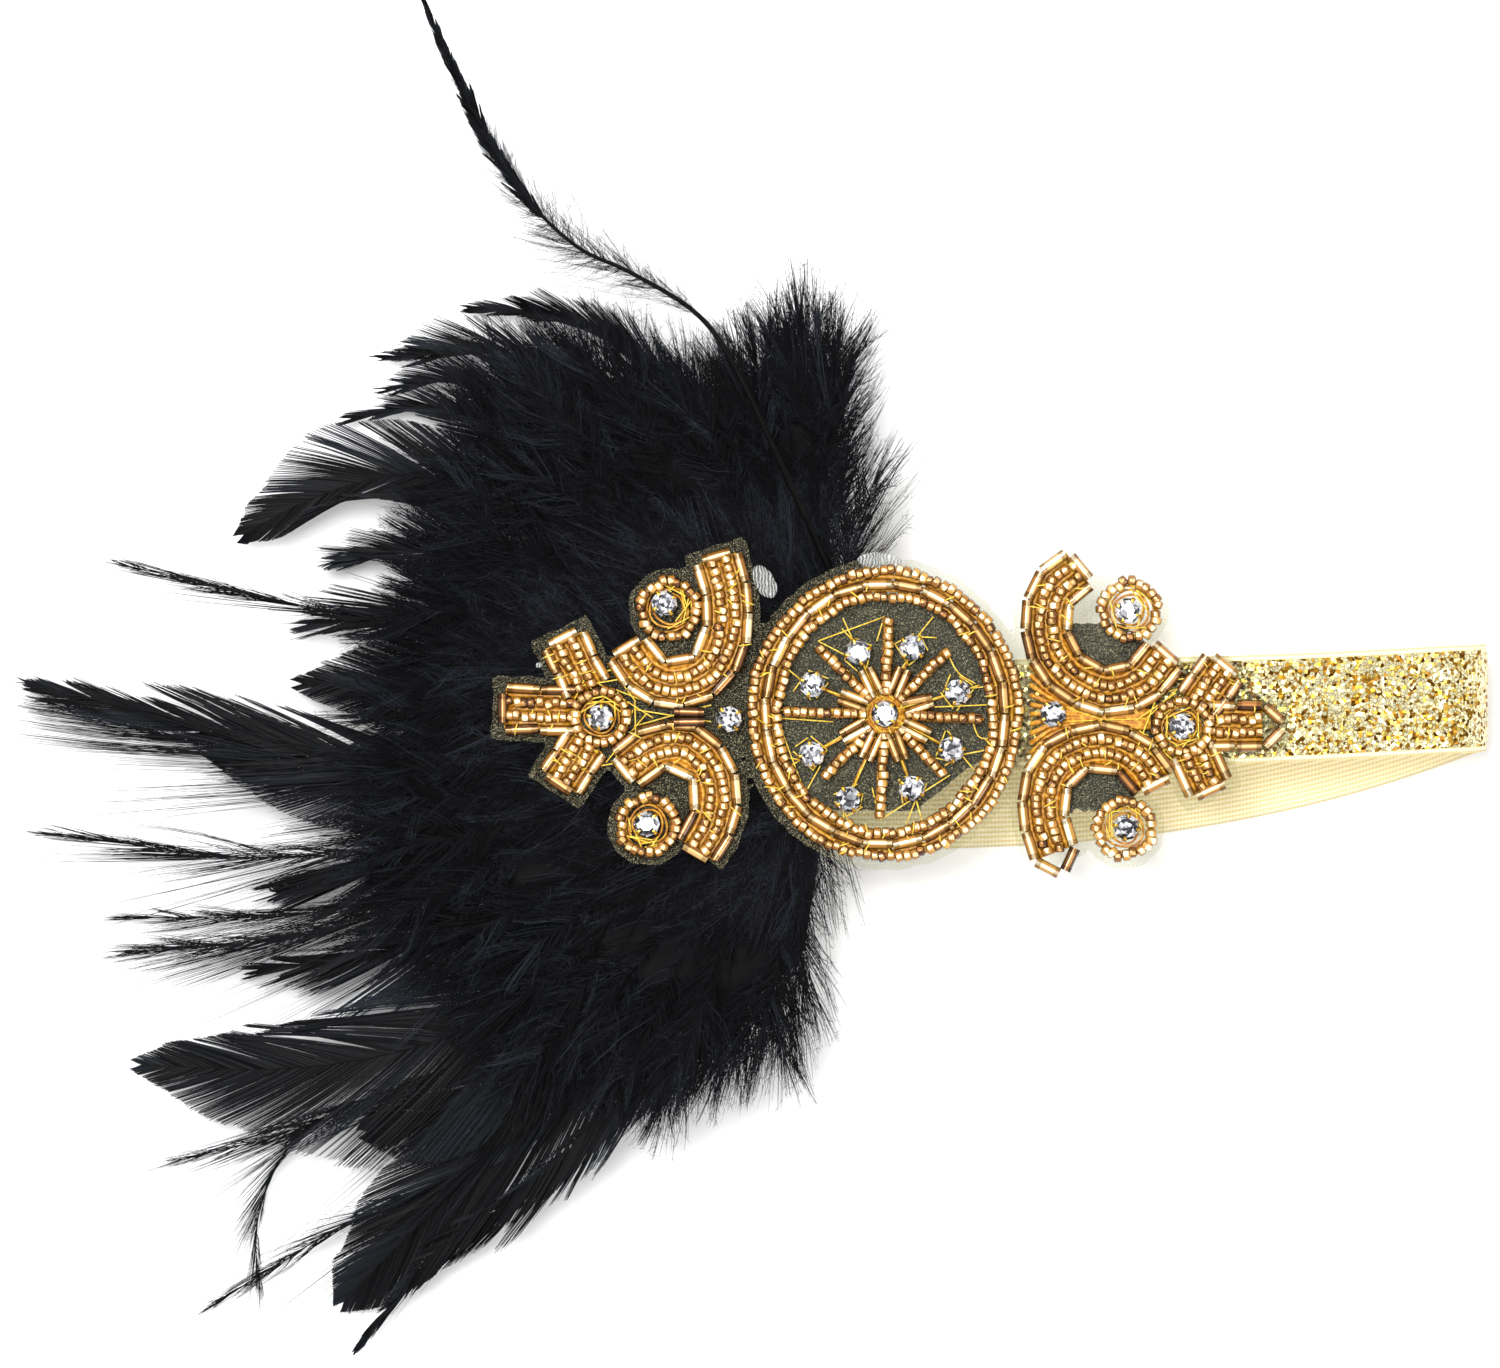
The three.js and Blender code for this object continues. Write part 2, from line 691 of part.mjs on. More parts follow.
// The down stays under the organza and its pads, and puffs up past their outline
const coverLong = 1.2; // half axes of an oval round the organza, in shares of a fleur and of the medallion
const coverHigh = 1.6;
const coverEdge = 1.45; // where the down has reached its full rise, in shares of that oval
function fluffRoof(spot) {
  const halfWidth = medallionHalfWidth + coverLong * fleurLength;
  const cover = new THREE.Vector2(halfWidth, coverHigh * medallionHalfHeight);
  return underFelt + fluffRise * smooth(spot.clone().divide(cover).length(), 1, coverEdge);
}

// One lock of down, a plump tapered body that lies on the vanes and stays under the organza
function fluffLock(index) {
  const [first, last] = [fluffOutline[0].angle, fluffOutline.at(-1).angle];
  const angle = first + ((last - first) * (index + 0.5)) / fluffLocks;
  const reach = fluffReachAt(angle);
  const lockWidth = fluffOverlap * fluffReach * ((last - first) / fluffLocks) * degrees;
  const across = fromAngle(angle + 90, 1);
  const rings = lockSections.map((row) => {
    const distance = row.along * reach;
    const middle = fromAngle(angle, distance).add(new THREE.Vector2(rootX, 0));
    const vaneTop = Math.max(...vanes.map((one) => vaneUnder(distance, one.reach * vaneReach, one.tip)));
    const low = vaneTop + vaneThickness + 4 * layerGap;
    const high = Math.min(low + row.thick * fluffThickness, fluffRoof(middle));
    const half = (row.width * lockWidth) / 2;
    return circle(6, 1).map(([side, up]) => {
      const spot = middle.clone().addScaledVector(across, side * half);
      return new THREE.Vector3(spot.x, spot.y, (low + high) / 2 + (up * (high - low)) / 2);
    });
  });
  return loft(rings);
}

// The long stripped hackle: a bare quill that springs from under the medallion, arches over the down
// and ends in a narrow blade. Shares of hackleReach from its foot, up is the rise over the foot, and
// width is that of the barbs in shares of hackleWidth.
const hackleFoot = new THREE.Vector2(-0.05, 0.15).multiplyScalar(hackleReach); // from the medallion's middle
const hackleRoute = [
  { x: 0, y: 0, up: 0, width: 0 },
  { x: -0.047, y: 0.1, up: 0, width: 0 },
  { x: -0.091, y: 0.193, up: 0.06, width: 0 },
  { x: -0.2, y: 0.42, up: 0.1, width: 0 },
  { x: -0.25, y: 0.485, up: 0.1, width: 0.29 },
  { x: -0.36, y: 0.553, up: 0.1, width: 1 },
  { x: -0.43, y: 0.585, up: 0.1, width: 0.71 },
  { x: -0.49, y: 0.635, up: 0.1, width: 0.37 },
  { x: -0.55, y: 0.71, up: 0.1, width: 0.43 },
  { x: -0.63, y: 0.86, up: 0.09, width: 0.29 },
  { x: -0.685, y: 0.985, up: 0.08, width: 0 },
];

function longHackle() {
  const base = underOrganza - quillDiameter / 2;
  const spotOf = ({ x, y }) => new THREE.Vector2(x, y).multiplyScalar(hackleReach).add(hackleFoot);
  const route = new Route(hackleRoute.map(spotOf));
  const rings = hackleRoute.map((row, i) => {
    const taper = 1 - (0.7 * i) / (hackleRoute.length - 1);
    const quill = (quillDiameter / 2) * taper;
    return circle(6, 1).map(([side, up]) => {
      const half = quill + (row.width * hackleWidth) / 2;
      const spot = route.points[i].clone().addScaledVector(route.normals[i], side * half);
      return new THREE.Vector3(spot.x, spot.y, base + row.up * hackleReach + up * quill);
    });
  });
  return loft(rings);
}

// Materials
function finish(color, roughness, metalness) {
  return new THREE.MeshStandardMaterial({ color, roughness, metalness });
}
const goldElastic = finish(0xd9b24a, 0.45, 0.6);
const amberGlass = finish(0xc8812f, 0.18, 0.55);
const crystal = finish(0xe9ecf2, 0.05, 0.3);
const greenOrganza = finish(0x76806a, 0.7, 0);
const blackFelt = finish(0x17181a, 0.95, 0);
const blackFeather = finish(0x121317, 0.6, 0);

const headband = new THREE.Group();
function add(name, geometry, material) {
  const mesh = new THREE.Mesh(geometry, material);
  mesh.name = name;
  headband.add(mesh);
}

add("elastic_band", elasticBand(), goldElastic);
add("medallion_pad", medallionPad(), blackFelt);
add("fleur_pad", fleurPad(), blackFelt);
add("organza_backing", organza(), greenOrganza);
const axis = new THREE.Vector2();
for (const name of ["outer", "inner"]) {
  const [width, height] = [medallionHalfWidth - ringInset[name], medallionHalfHeight - ringInset[name]];
  add(`medallion_${name}_seed_ring`, seedRing(axis, width, height, 30), amberGlass);
}
add("medallion_bugle_ring", medallionBugles(), amberGlass);
add("medallion_star", medallionStar(), amberGlass);
add("centre_stone", claspedStone(axis), crystal);
medallionStones.forEach(({ angle, orbit }, i) => {
  add(`medallion_stone_${i + 1}`, claspedStone(fromAngle(angle, orbit * medallionHalfWidth)), crystal);
});
for (const scroll of scrolls) add(scroll.name, beadStrip(scrollRoute(scroll), scroll), amberGlass);
for (const eye of eyes) {
  add(`${eye.name}_ring`, seedRing(fleurPoint(eye.side, eye), eyeRadius, eyeRadius, 12), amberGlass);
  const seat = { out: eye.out + eye.aside, up: eye.up + eye.aside };
  add(`${eye.name}_stone`, claspedStone(fleurPoint(eye.side, seat)), crystal);
}
for (const trefoil of trefoils) {
  add(trefoil.name, beadTrefoil(trefoil), amberGlass);
  add(`${trefoil.name}_stone`, claspedStone(fleurPoint(trefoil.side, trefoil)), crystal);
}
for (const stone of waistStones) add(stone.name, claspedStone(fleurPoint(stone.side, stone)), crystal);
add("vane_feathers", fuse([rootHead(vaneRootUnder), ...vanes.map(vane)]), blackFeather);
const locks = Array.from({ length: fluffLocks }, (_, i) => fluffLock(i));
add("down_fluff", fuse([rootHead(fluffRootUnder), ...locks]), blackFeather);
add("long_hackle", longHackle(), blackFeather);

// The origin lies on the table under the middle of the whole thing
headband.updateMatrixWorld(true);
const extent = new THREE.Box3().setFromObject(headband);
const middle = extent.getCenter(new THREE.Vector3());
for (const mesh of headband.children) mesh.position.set(-middle.x, -middle.y, -extent.min.z);

export default headband;
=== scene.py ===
import math

import bpy
import numpy as np
from mathutils import Matrix, Vector


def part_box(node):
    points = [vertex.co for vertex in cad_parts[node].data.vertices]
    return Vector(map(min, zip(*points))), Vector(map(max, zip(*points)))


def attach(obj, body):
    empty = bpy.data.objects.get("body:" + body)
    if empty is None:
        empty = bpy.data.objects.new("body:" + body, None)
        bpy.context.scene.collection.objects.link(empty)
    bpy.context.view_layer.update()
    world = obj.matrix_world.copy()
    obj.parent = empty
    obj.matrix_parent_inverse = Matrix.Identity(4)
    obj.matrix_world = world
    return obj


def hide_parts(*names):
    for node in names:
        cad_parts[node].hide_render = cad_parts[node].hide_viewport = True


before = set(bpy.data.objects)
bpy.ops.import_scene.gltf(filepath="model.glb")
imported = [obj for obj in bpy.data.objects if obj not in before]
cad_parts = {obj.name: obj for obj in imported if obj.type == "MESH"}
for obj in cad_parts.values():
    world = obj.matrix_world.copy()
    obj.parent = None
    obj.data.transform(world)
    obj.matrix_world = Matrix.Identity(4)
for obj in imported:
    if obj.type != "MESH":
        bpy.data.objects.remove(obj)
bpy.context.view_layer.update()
print("frame loaded")

mm = 0.001

# The beadwork is laid out in millimetres from the middle of the medallion, heights from the table
ringLow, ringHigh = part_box("medallion_outer_seed_ring")
middleX = (ringLow.x + ringHigh.x) / 2 / mm
middleY = (ringLow.y + ringHigh.y) / 2 / mm


def inRow(points):  # millimetres from the medallion's middle to metres in the row frame
    return (np.asarray(points, float) + [middleX, middleY, 0]) * mm


def leaveAlone():
    bpy.ops.object.select_all(action="DESELECT")


def pickFaces(piece, test):
    bpy.ops.object.mode_set(mode="OBJECT")
    for vertex in piece.data.vertices:
        vertex.select = False
    for edge in piece.data.edges:
        edge.select = False
    for face in piece.data.polygons:
        face.select = test(face)
    bpy.ops.object.mode_set(mode="EDIT")
    bpy.ops.mesh.select_mode(type="FACE")


def meshPiece(name, points, faces, materials, uv=None):
    mesh = bpy.data.meshes.new(name)
    corners = faces.tolist() if isinstance(faces, np.ndarray) else faces
    mesh.from_pydata(np.asarray(points, float).tolist(), [], corners)
    if uv is not None:
        loops = np.zeros(len(mesh.loops), dtype=int)
        mesh.loops.foreach_get("vertex_index", loops)
        layer = mesh.uv_layers.new(name="lay")
        layer.data.foreach_set("uv", np.asarray(uv, float)[loops].ravel())
    mesh.polygons.foreach_set("use_smooth", [True] * len(mesh.polygons))
    mesh.update()
    piece = bpy.data.objects.new(name, mesh)
    bpy.context.scene.collection.objects.link(piece)
    for material in materials:
        mesh.materials.append(material)
    return piece


def markPoints(piece, name, values):
    layer = piece.data.attributes.new(name, "FLOAT", "POINT")
    layer.data.foreach_set("value", np.asarray(values, float).ravel())


def standIn(piece, slot, *nodes):
    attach(piece, "root")
    if nodes:
        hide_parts(*nodes)


def linear(colour):
    parts = [int(colour[i:i + 2], 16) / 255 for i in (1, 3, 5)]
    return [c / 12.92 if c < 0.04045 else ((c + 0.055) / 1.055) ** 2.4 for c in parts] + [1]


def newMaterial(name):
    material = bpy.data.materials.new(name)
    material.use_nodes = True
    material.node_tree.nodes.clear()
    return material


def addNode(material, kind, values=None, links=None, **settings):
    node = material.node_tree.nodes.new(kind)
    for key, value in settings.items():
        setattr(node, key, value)
    for socket, value in (values or {}).items():
        node.inputs[socket].default_value = value
    for socket, source in (links or {}).items():
        material.node_tree.links.new(source, node.inputs[socket])
    return node


def setStops(ramp, stops):
    while len(ramp.color_ramp.elements) < len(stops):
        ramp.color_ramp.elements.new(0.5)
    for element, (place, colour) in zip(ramp.color_ramp.elements, stops):
        element.position = place
        element.color = linear(colour)


# Gold-lined glass beads: amber glass over a gilt hole. Where a bead's normal faces up, its crown is painted
# pale gold as a painted highlight; its flanks are deep amber, painted darker at the sides as painted shade.
def goldLinedGlass():
    material = newMaterial("gold_lined_glass")
    tone = addNode(material, "ShaderNodeAttribute", attribute_name="tone")
    flank = addNode(material, "ShaderNodeValToRGB", links={0: tone.outputs["Fac"]})
    setStops(flank, [(0, "#4A2808"), (0.35, "#885618"), (0.7, "#B57C30"), (1, "#D6A450")])
    crown = addNode(material, "ShaderNodeValToRGB", links={0: tone.outputs["Fac"]})
    setStops(crown, [(0, "#B07430"), (0.3, "#DEB06A"), (0.65, "#FBE2B0"), (1, "#FFF8E2")])
    face = addNode(material, "ShaderNodeNewGeometry")
    part = addNode(material, "ShaderNodeSeparateXYZ", links={0: face.outputs["Normal"]})
    # the painted highlight sits a little off each bead's middle at random, as if no bead lay quite level
    highlightShiftX = addNode(material, "ShaderNodeAttribute", attribute_name="highlightShiftX")
    highlightShiftY = addNode(material, "ShaderNodeAttribute", attribute_name="highlightShiftY")
    up = addNode(material, "ShaderNodeCombineXYZ", {2: 1}, {0: highlightShiftX.outputs["Fac"], 1: highlightShiftY.outputs["Fac"]})
    height = addNode(material, "ShaderNodeVectorMath", links={0: up.outputs[0], 1: face.outputs["Normal"]},
                     operation="DOT_PRODUCT")
    # painted highlight: the pale crown colour where the bead's normal faces up
    paintedHighlight = addNode(material, "ShaderNodeMapRange", {1: 0.9, 2: 1.0, 3: 0, 4: 1},
                   {0: height.outputs["Value"]}, interpolation_type="SMOOTHSTEP")
    tint = addNode(material, "ShaderNodeMix", data_type="RGBA")
    for socket, source in ((0, paintedHighlight.outputs[0]), (6, flank.outputs["Color"]), (7, crown.outputs["Color"])):
        material.node_tree.links.new(source, tint.inputs[socket])
    # painted shade: each bead darkens towards its sides, where its normal turns away from up
    rim = addNode(material, "ShaderNodeMapRange", {1: 0.12, 2: 0.74, 3: 0.1, 4: 1}, {0: part.outputs[2]})
    shade = addNode(material, "ShaderNodeVectorMath",
                    links={0: tint.outputs[2], "Scale": rim.outputs[0]}, operation="SCALE")
    place = addNode(material, "ShaderNodeTexCoord")
    swirl = addNode(material, "ShaderNodeTexNoise", {"Scale": 700, "Detail": 1},
                    {"Vector": place.outputs["Object"]})
    bump = addNode(material, "ShaderNodeBump", {"Strength": 0.04, "Distance": 0.0002},
                   {"Height": swirl.outputs["Fac"]})
    glass = addNode(material, "ShaderNodeBsdfPrincipled",
                    {"Metallic": 0.3, "Roughness": 0.24, "IOR": 1.52, "Coat Weight": 0.5,
                     "Coat Roughness": 0.06, "Coat IOR": 1.5},
                    {"Base Color": shade.outputs[0], "Normal": bump.outputs["Normal"]})
    addNode(material, "ShaderNodeOutputMaterial", links={"Surface": glass.outputs["BSDF"]})
    return material


# Amber core: waxed thread under the beads, coloured with painted light, the glow that the glass throws on it
def paintedGlowCore():
    material = newMaterial("painted_glow_core")
    place = addNode(material, "ShaderNodeTexCoord")
    ply = addNode(material, "ShaderNodeTexNoise", {"Scale": 900, "Detail": 2},
                  {"Vector": place.outputs["Object"]})
    ramp = addNode(material, "ShaderNodeValToRGB", links={0: ply.outputs["Fac"]})
    setStops(ramp, [(0.3, "#9A5C0E"), (0.5, "#C6841A"), (0.7, "#EAB23C")])
    bump = addNode(material, "ShaderNodeBump", {"Strength": 0.4, "Distance": 0.0002},
                   {"Height": ply.outputs["Fac"]})
    fibre = addNode(material, "ShaderNodeBsdfPrincipled", {"Roughness": 0.4, "IOR": 1.5},
                    {"Base Color": ramp.outputs["Color"], "Normal": bump.outputs["Normal"]})
    addNode(material, "ShaderNodeOutputMaterial", links={"Surface": fibre.outputs["BSDF"]})
    return material


# Polyester embroidery thread: yellow, twisted, a soft shine
def yellowThread():
    material = newMaterial("yellow_thread")
    place = addNode(material, "ShaderNodeTexCoord")
    ply = addNode(material, "ShaderNodeTexNoise", {"Scale": 1500, "Detail": 2, "Roughness": 0.6},
                  {"Vector": place.outputs["Object"]})
    ramp = addNode(material, "ShaderNodeValToRGB", links={0: ply.outputs["Fac"]})
    setStops(ramp, [(0.3, "#CB9312"), (0.5, "#EDC520"), (0.7, "#FAE65A")])
    bump = addNode(material, "ShaderNodeBump", {"Strength": 0.4, "Distance": 0.0002},
                   {"Height": ply.outputs["Fac"]})
    fibre = addNode(material, "ShaderNodeBsdfPrincipled",
                    {"Roughness": 0.5, "IOR": 1.55, "Sheen Weight": 0.3},
                    {"Base Color": ramp.outputs["Color"], "Normal": bump.outputs["Normal"]})
    addNode(material, "ShaderNodeOutputMaterial", links={"Surface": fibre.outputs["BSDF"]})
    return material


# Nylon organza: a sheer plain weave in sage green. Threads lie 0.2 mm apart, drawn at 0.5 mm to show. Fine
# specks of pale cream are painted glints where single filaments catch the light, and make it less sheer
# there.
def sageOrganza():
    material = newMaterial("sage_organza")
    place = addNode(material, "ShaderNodeTexCoord")
    warp = addNode(material, "ShaderNodeTexWave", {"Scale": 640, "Distortion": 0.6, "Detail": 1},
                   {"Vector": place.outputs["Object"]}, bands_direction="X")
    weft = addNode(material, "ShaderNodeTexWave", {"Scale": 640, "Distortion": 0.6, "Detail": 1},
                   {"Vector": place.outputs["Object"]}, bands_direction="Y")
    mesh = addNode(material, "ShaderNodeMath",
                   links={0: warp.outputs["Fac"], 1: weft.outputs["Fac"]}, operation="MAXIMUM")
    folds = addNode(material, "ShaderNodeTexNoise", {"Scale": 60, "Detail": 3},
                    {"Vector": place.outputs["Object"]})
    # painted glints: fine pale specks in the organza's colour
    glint = addNode(material, "ShaderNodeTexNoise", {"Scale": 2700, "Detail": 2, "Roughness": 0.8},
                    {"Vector": place.outputs["Object"]})
    weave = addNode(material, "ShaderNodeMath", {1: 0.06, 2: 0.02}, {0: mesh.outputs[0]},
                    operation="MULTIPLY_ADD")
    sheet = addNode(material, "ShaderNodeMath", {1: 0.1}, {0: folds.outputs["Fac"], 2: weave.outputs[0]},
                    operation="MULTIPLY_ADD")
    spark = addNode(material, "ShaderNodeMapRange", {1: 0.5, 2: 0.66, 3: 0, 4: 0.17},
                    {0: glint.outputs["Fac"]})
    cover = addNode(material, "ShaderNodeMath", links={0: sheet.outputs[0], 1: spark.outputs[0]},
                    operation="ADD")
    ramp = addNode(material, "ShaderNodeValToRGB", links={0: glint.outputs["Fac"]})
    setStops(ramp, [(0.4, "#302C14"), (0.52, "#70663E"), (0.64, "#F4E8B8")])
    bump = addNode(material, "ShaderNodeBump", {"Strength": 0.3, "Distance": 0.0003},
                   {"Height": mesh.outputs[0]})
    nylon = addNode(material, "ShaderNodeBsdfPrincipled",
                    {"Roughness": 0.35, "IOR": 1.53, "Sheen Weight": 0.15},
                    {"Base Color": ramp.outputs["Color"], "Normal": bump.outputs["Normal"]})
    between = addNode(material, "ShaderNodeBsdfTransparent", {"Color": linear("#F4F6EE")})
    sheer = addNode(material, "ShaderNodeMixShader",
                    links={0: cover.outputs[0], 1: between.outputs["BSDF"], 2: nylon.outputs["BSDF"]})
    addNode(material, "ShaderNodeOutputMaterial", links={"Surface": sheer.outputs["Shader"]})
    return material


# Needle felt: matted black fibres about 0.3 mm long, dull, with a dusty bloom
def blackFelt():
    material = newMaterial("black_felt")
    place = addNode(material, "ShaderNodeTexCoord")
    mat = addNode(material, "ShaderNodeTexNoise", {"Scale": 1400, "Detail": 4, "Roughness": 0.7},
                  {"Vector": place.outputs["Object"]})
    ramp = addNode(material, "ShaderNodeValToRGB", links={0: mat.outputs["Fac"]})
    setStops(ramp, [(0.4, "#090A0A"), (0.62, "#232625")])
    bump = addNode(material, "ShaderNodeBump", {"Strength": 0.8, "Distance": 0.0004},
                   {"Height": mat.outputs["Fac"]})
    wool = addNode(material, "ShaderNodeBsdfPrincipled",
                   {"Roughness": 0.95, "IOR": 1.5, "Sheen Weight": 0.35, "Sheen Roughness": 0.6},
                   {"Base Color": ramp.outputs["Color"], "Normal": bump.outputs["Normal"]})
    addNode(material, "ShaderNodeOutputMaterial", links={"Surface": wool.outputs["BSDF"]})
    return material


# Glitter: foil flakes of about 0.7 mm glued on at all angles, with brown glue between them
def goldGlitter():
    material = newMaterial("gold_glitter")
    place = addNode(material, "ShaderNodeTexCoord")
    flakes = addNode(material, "ShaderNodeTexVoronoi", {"Scale": 1350, "Randomness": 1},
                     {"Vector": place.outputs["Object"]})
    gap = addNode(material, "ShaderNodeTexVoronoi", {"Scale": 1350, "Randomness": 1},
                  {"Vector": place.outputs["Object"]}, feature="DISTANCE_TO_EDGE")
    each = addNode(material, "ShaderNodeSeparateColor", links={0: flakes.outputs["Color"]})
    # each flake is painted from dark brown to near white at random: painted glints and painted shade
    ramp = addNode(material, "ShaderNodeValToRGB", links={0: each.outputs[0]})
    setStops(ramp, [(0.06, "#5A3806"), (0.2, "#B07E1C"), (0.34, "#F0D468"), (0.5, "#FFF8C8")])
    flake = addNode(material, "ShaderNodeMapRange", {1: 0.0, 2: 0.12, 3: 0, 4: 1},
                    {0: gap.outputs["Distance"]})
    colour = addNode(material, "ShaderNodeMix", {6: linear("#7A5312")},
                     {0: flake.outputs[0], 7: ramp.outputs["Color"]}, data_type="RGBA")
    middle = addNode(material, "ShaderNodeVectorMath", {1: (0.5, 0.5, 0.5)}, {0: flakes.outputs["Color"]},
                     operation="SUBTRACT")
    tilt = addNode(material, "ShaderNodeVectorMath", {"Scale": 0.95}, {0: middle.outputs[0]},
                   operation="SCALE")
    face = addNode(material, "ShaderNodeNewGeometry")
    turned = addNode(material, "ShaderNodeVectorMath", links={0: face.outputs["Normal"], 1: tilt.outputs[0]},
                     operation="ADD")
    normal = addNode(material, "ShaderNodeVectorMath", links={0: turned.outputs[0]}, operation="NORMALIZE")
    foil = addNode(material, "ShaderNodeBsdfPrincipled", {"Metallic": 0.9, "Roughness": 0.3},
                   {"Base Color": colour.outputs[2], "Normal": normal.outputs[0]})
    addNode(material, "ShaderNodeOutputMaterial", links={"Surface": foil.outputs["BSDF"]})
    return material


# Woven elastic: cream polyester over rubber, a rib every 1.1 mm across it and small knots across
def creamElastic():
    material = newMaterial("cream_elastic")
    lay = addNode(material, "ShaderNodeUVMap", uv_map="lay")
    ribs = addNode(material, "ShaderNodeTexWave", {"Scale": 280, "Distortion": 0.4, "Detail": 1},
                   {"Vector": lay.outputs["UV"]}, bands_direction="Y")
    knots = addNode(material, "ShaderNodeTexWave", {"Scale": 380, "Distortion": 1.2, "Detail": 2},
                    {"Vector": lay.outputs["UV"]}, bands_direction="X")
    weave = addNode(material, "ShaderNodeMath", {1: 0.45}, {0: knots.outputs["Fac"], 2: ribs.outputs["Fac"]},
                    operation="MULTIPLY_ADD")
    ramp = addNode(material, "ShaderNodeValToRGB", links={0: weave.outputs[0]})
    setStops(ramp, [(0.1, "#DCC68C"), (0.6, "#EFDFAE"), (1, "#F6ECC8")])
    bump = addNode(material, "ShaderNodeBump", {"Strength": 0.4, "Distance": 0.0003},
                   {"Height": weave.outputs[0]})
    yarn = addNode(material, "ShaderNodeBsdfPrincipled",
                   {"Roughness": 0.75, "IOR": 1.5, "Sheen Weight": 0.25},
                   {"Base Color": ramp.outputs["Color"], "Normal": bump.outputs["Normal"]})
    addNode(material, "ShaderNodeOutputMaterial", links={"Surface": yarn.outputs["BSDF"]})
    return material


# Foil-backed crystal: cut glass over a mirror, each facet painted black to white at random: painted
# reflections
def foiledCrystal():
    material = newMaterial("foiled_crystal")
    tone = addNode(material, "ShaderNodeAttribute", attribute_name="tone")
    place = addNode(material, "ShaderNodeTexCoord")
    inner = addNode(material, "ShaderNodeTexVoronoi", {"Scale": 1100}, {"Vector": place.outputs["Object"]})
    facet = addNode(material, "ShaderNodeSeparateColor", links={0: inner.outputs["Color"]})
    half = addNode(material, "ShaderNodeMath", {1: 0.45}, {0: tone.outputs["Fac"]}, operation="MULTIPLY")
    both = addNode(material, "ShaderNodeMath", {1: 0.65}, {0: facet.outputs[0], 2: half.outputs[0]},
                   operation="MULTIPLY_ADD")
    ramp = addNode(material, "ShaderNodeValToRGB", links={0: both.outputs[0]})
    setStops(ramp, [(0.24, "#0E0E10"), (0.44, "#56575C"), (0.6, "#B4B5BC"), (0.8, "#FFFFFF")])
    cut = addNode(material, "ShaderNodeBsdfPrincipled",
                  {"Metallic": 0.6, "Roughness": 0.16, "IOR": 1.54, "Coat Weight": 0.6,
                   "Coat Roughness": 0.08},
                  {"Base Color": ramp.outputs["Color"]})
    addNode(material, "ShaderNodeOutputMaterial", links={"Surface": cut.outputs["BSDF"]})
    return material


# Gilt brass claws: pressed, bright, a little brushed
def giltBrass():
    material = newMaterial("gilt_brass")
    place = addNode(material, "ShaderNodeTexCoord")
    wear = addNode(material, "ShaderNodeTexNoise", {"Scale": 2500, "Detail": 3},
                   {"Vector": place.outputs["Object"]})
    ramp = addNode(material, "ShaderNodeValToRGB", links={0: wear.outputs["Fac"]})
    setStops(ramp, [(0.3, "#8E6016"), (0.7, "#DCAC48")])
    bump = addNode(material, "ShaderNodeBump", {"Strength": 0.15, "Distance": 0.0002},
                   {"Height": wear.outputs["Fac"]})
    metal = addNode(material, "ShaderNodeBsdfPrincipled", {"Metallic": 1, "Roughness": 0.28},
                    {"Base Color": ramp.outputs["Color"], "Normal": bump.outputs["Normal"]})
    addNode(material, "ShaderNodeOutputMaterial", links={"Surface": metal.outputs["BSDF"]})
    return material


# Dyed feather: keratin barbs, black, painted lighter and colder towards their thin tips as painted sheen;
# down is duller than a vane
def dyedBarbs(name, roughness, sheen, tint):
    material = newMaterial(name)
    tone = addNode(material, "ShaderNodeAttribute", attribute_name="tone")
    ramp = addNode(material, "ShaderNodeValToRGB", links={0: tone.outputs["Fac"]})
    setStops(ramp, [(0, "#010102"), (0.5, "#07080B"), (1, tint)])
    place = addNode(material, "ShaderNodeTexCoord")
    grain = addNode(material, "ShaderNodeTexNoise", {"Scale": 3000, "Detail": 2},
                    {"Vector": place.outputs["Object"]})
    bump = addNode(material, "ShaderNodeBump", {"Strength": 0.25, "Distance": 0.0002},
                   {"Height": grain.outputs["Fac"]})
    keratin = addNode(material, "ShaderNodeBsdfPrincipled",
                      {"Roughness": roughness, "IOR": 1.54, "Specular IOR Level": 0.06,
                       "Sheen Weight": sheen, "Sheen Roughness": 0.5},
                      {"Base Color": ramp.outputs["Color"], "Normal": bump.outputs["Normal"]})
    addNode(material, "ShaderNodeOutputMaterial", links={"Surface": keratin.outputs["BSDF"]})
    return material


# Quill: dyed horn, black, its gloss dulled by the dye, with faint rings
def blackQuill():
    material = newMaterial("black_quill")
    place = addNode(material, "ShaderNodeTexCoord")
    horn = addNode(material, "ShaderNodeTexNoise", {"Scale": 400, "Detail": 2},
                   {"Vector": place.outputs["Object"]})
    ramp = addNode(material, "ShaderNodeValToRGB", links={0: horn.outputs["Fac"]})
    setStops(ramp, [(0.3, "#040404"), (0.7, "#0B0A0A")])
    bump = addNode(material, "ShaderNodeBump", {"Strength": 0.1, "Distance": 0.0002},
                   {"Height": horn.outputs["Fac"]})
    shell = addNode(material, "ShaderNodeBsdfPrincipled",
                    {"Roughness": 0.4, "IOR": 1.5, "Specular IOR Level": 0.06},
                    {"Base Color": ramp.outputs["Color"], "Normal": bump.outputs["Normal"]})
    addNode(material, "ShaderNodeOutputMaterial", links={"Surface": shell.outputs["BSDF"]})
    return material


# Studio paper for the floor, almost white with a faint tooth
def studioPaper():
    material = newMaterial("studio_paper")
    place = addNode(material, "ShaderNodeTexCoord")
    tooth = addNode(material, "ShaderNodeTexNoise", {"Scale": 300, "Detail": 2},
                    {"Vector": place.outputs["Object"]})
    ramp = addNode(material, "ShaderNodeValToRGB", links={0: tooth.outputs["Fac"]})
    setStops(ramp, [(0.3, "#FDFDFD"), (0.7, "#FFFFFF")])
    paper = addNode(material, "ShaderNodeBsdfPrincipled", {"Roughness": 0.9, "IOR": 1.45},
                    {"Base Color": ramp.outputs["Color"]})
    addNode(material, "ShaderNodeOutputMaterial", links={"Surface": paper.outputs["BSDF"]})
    return material


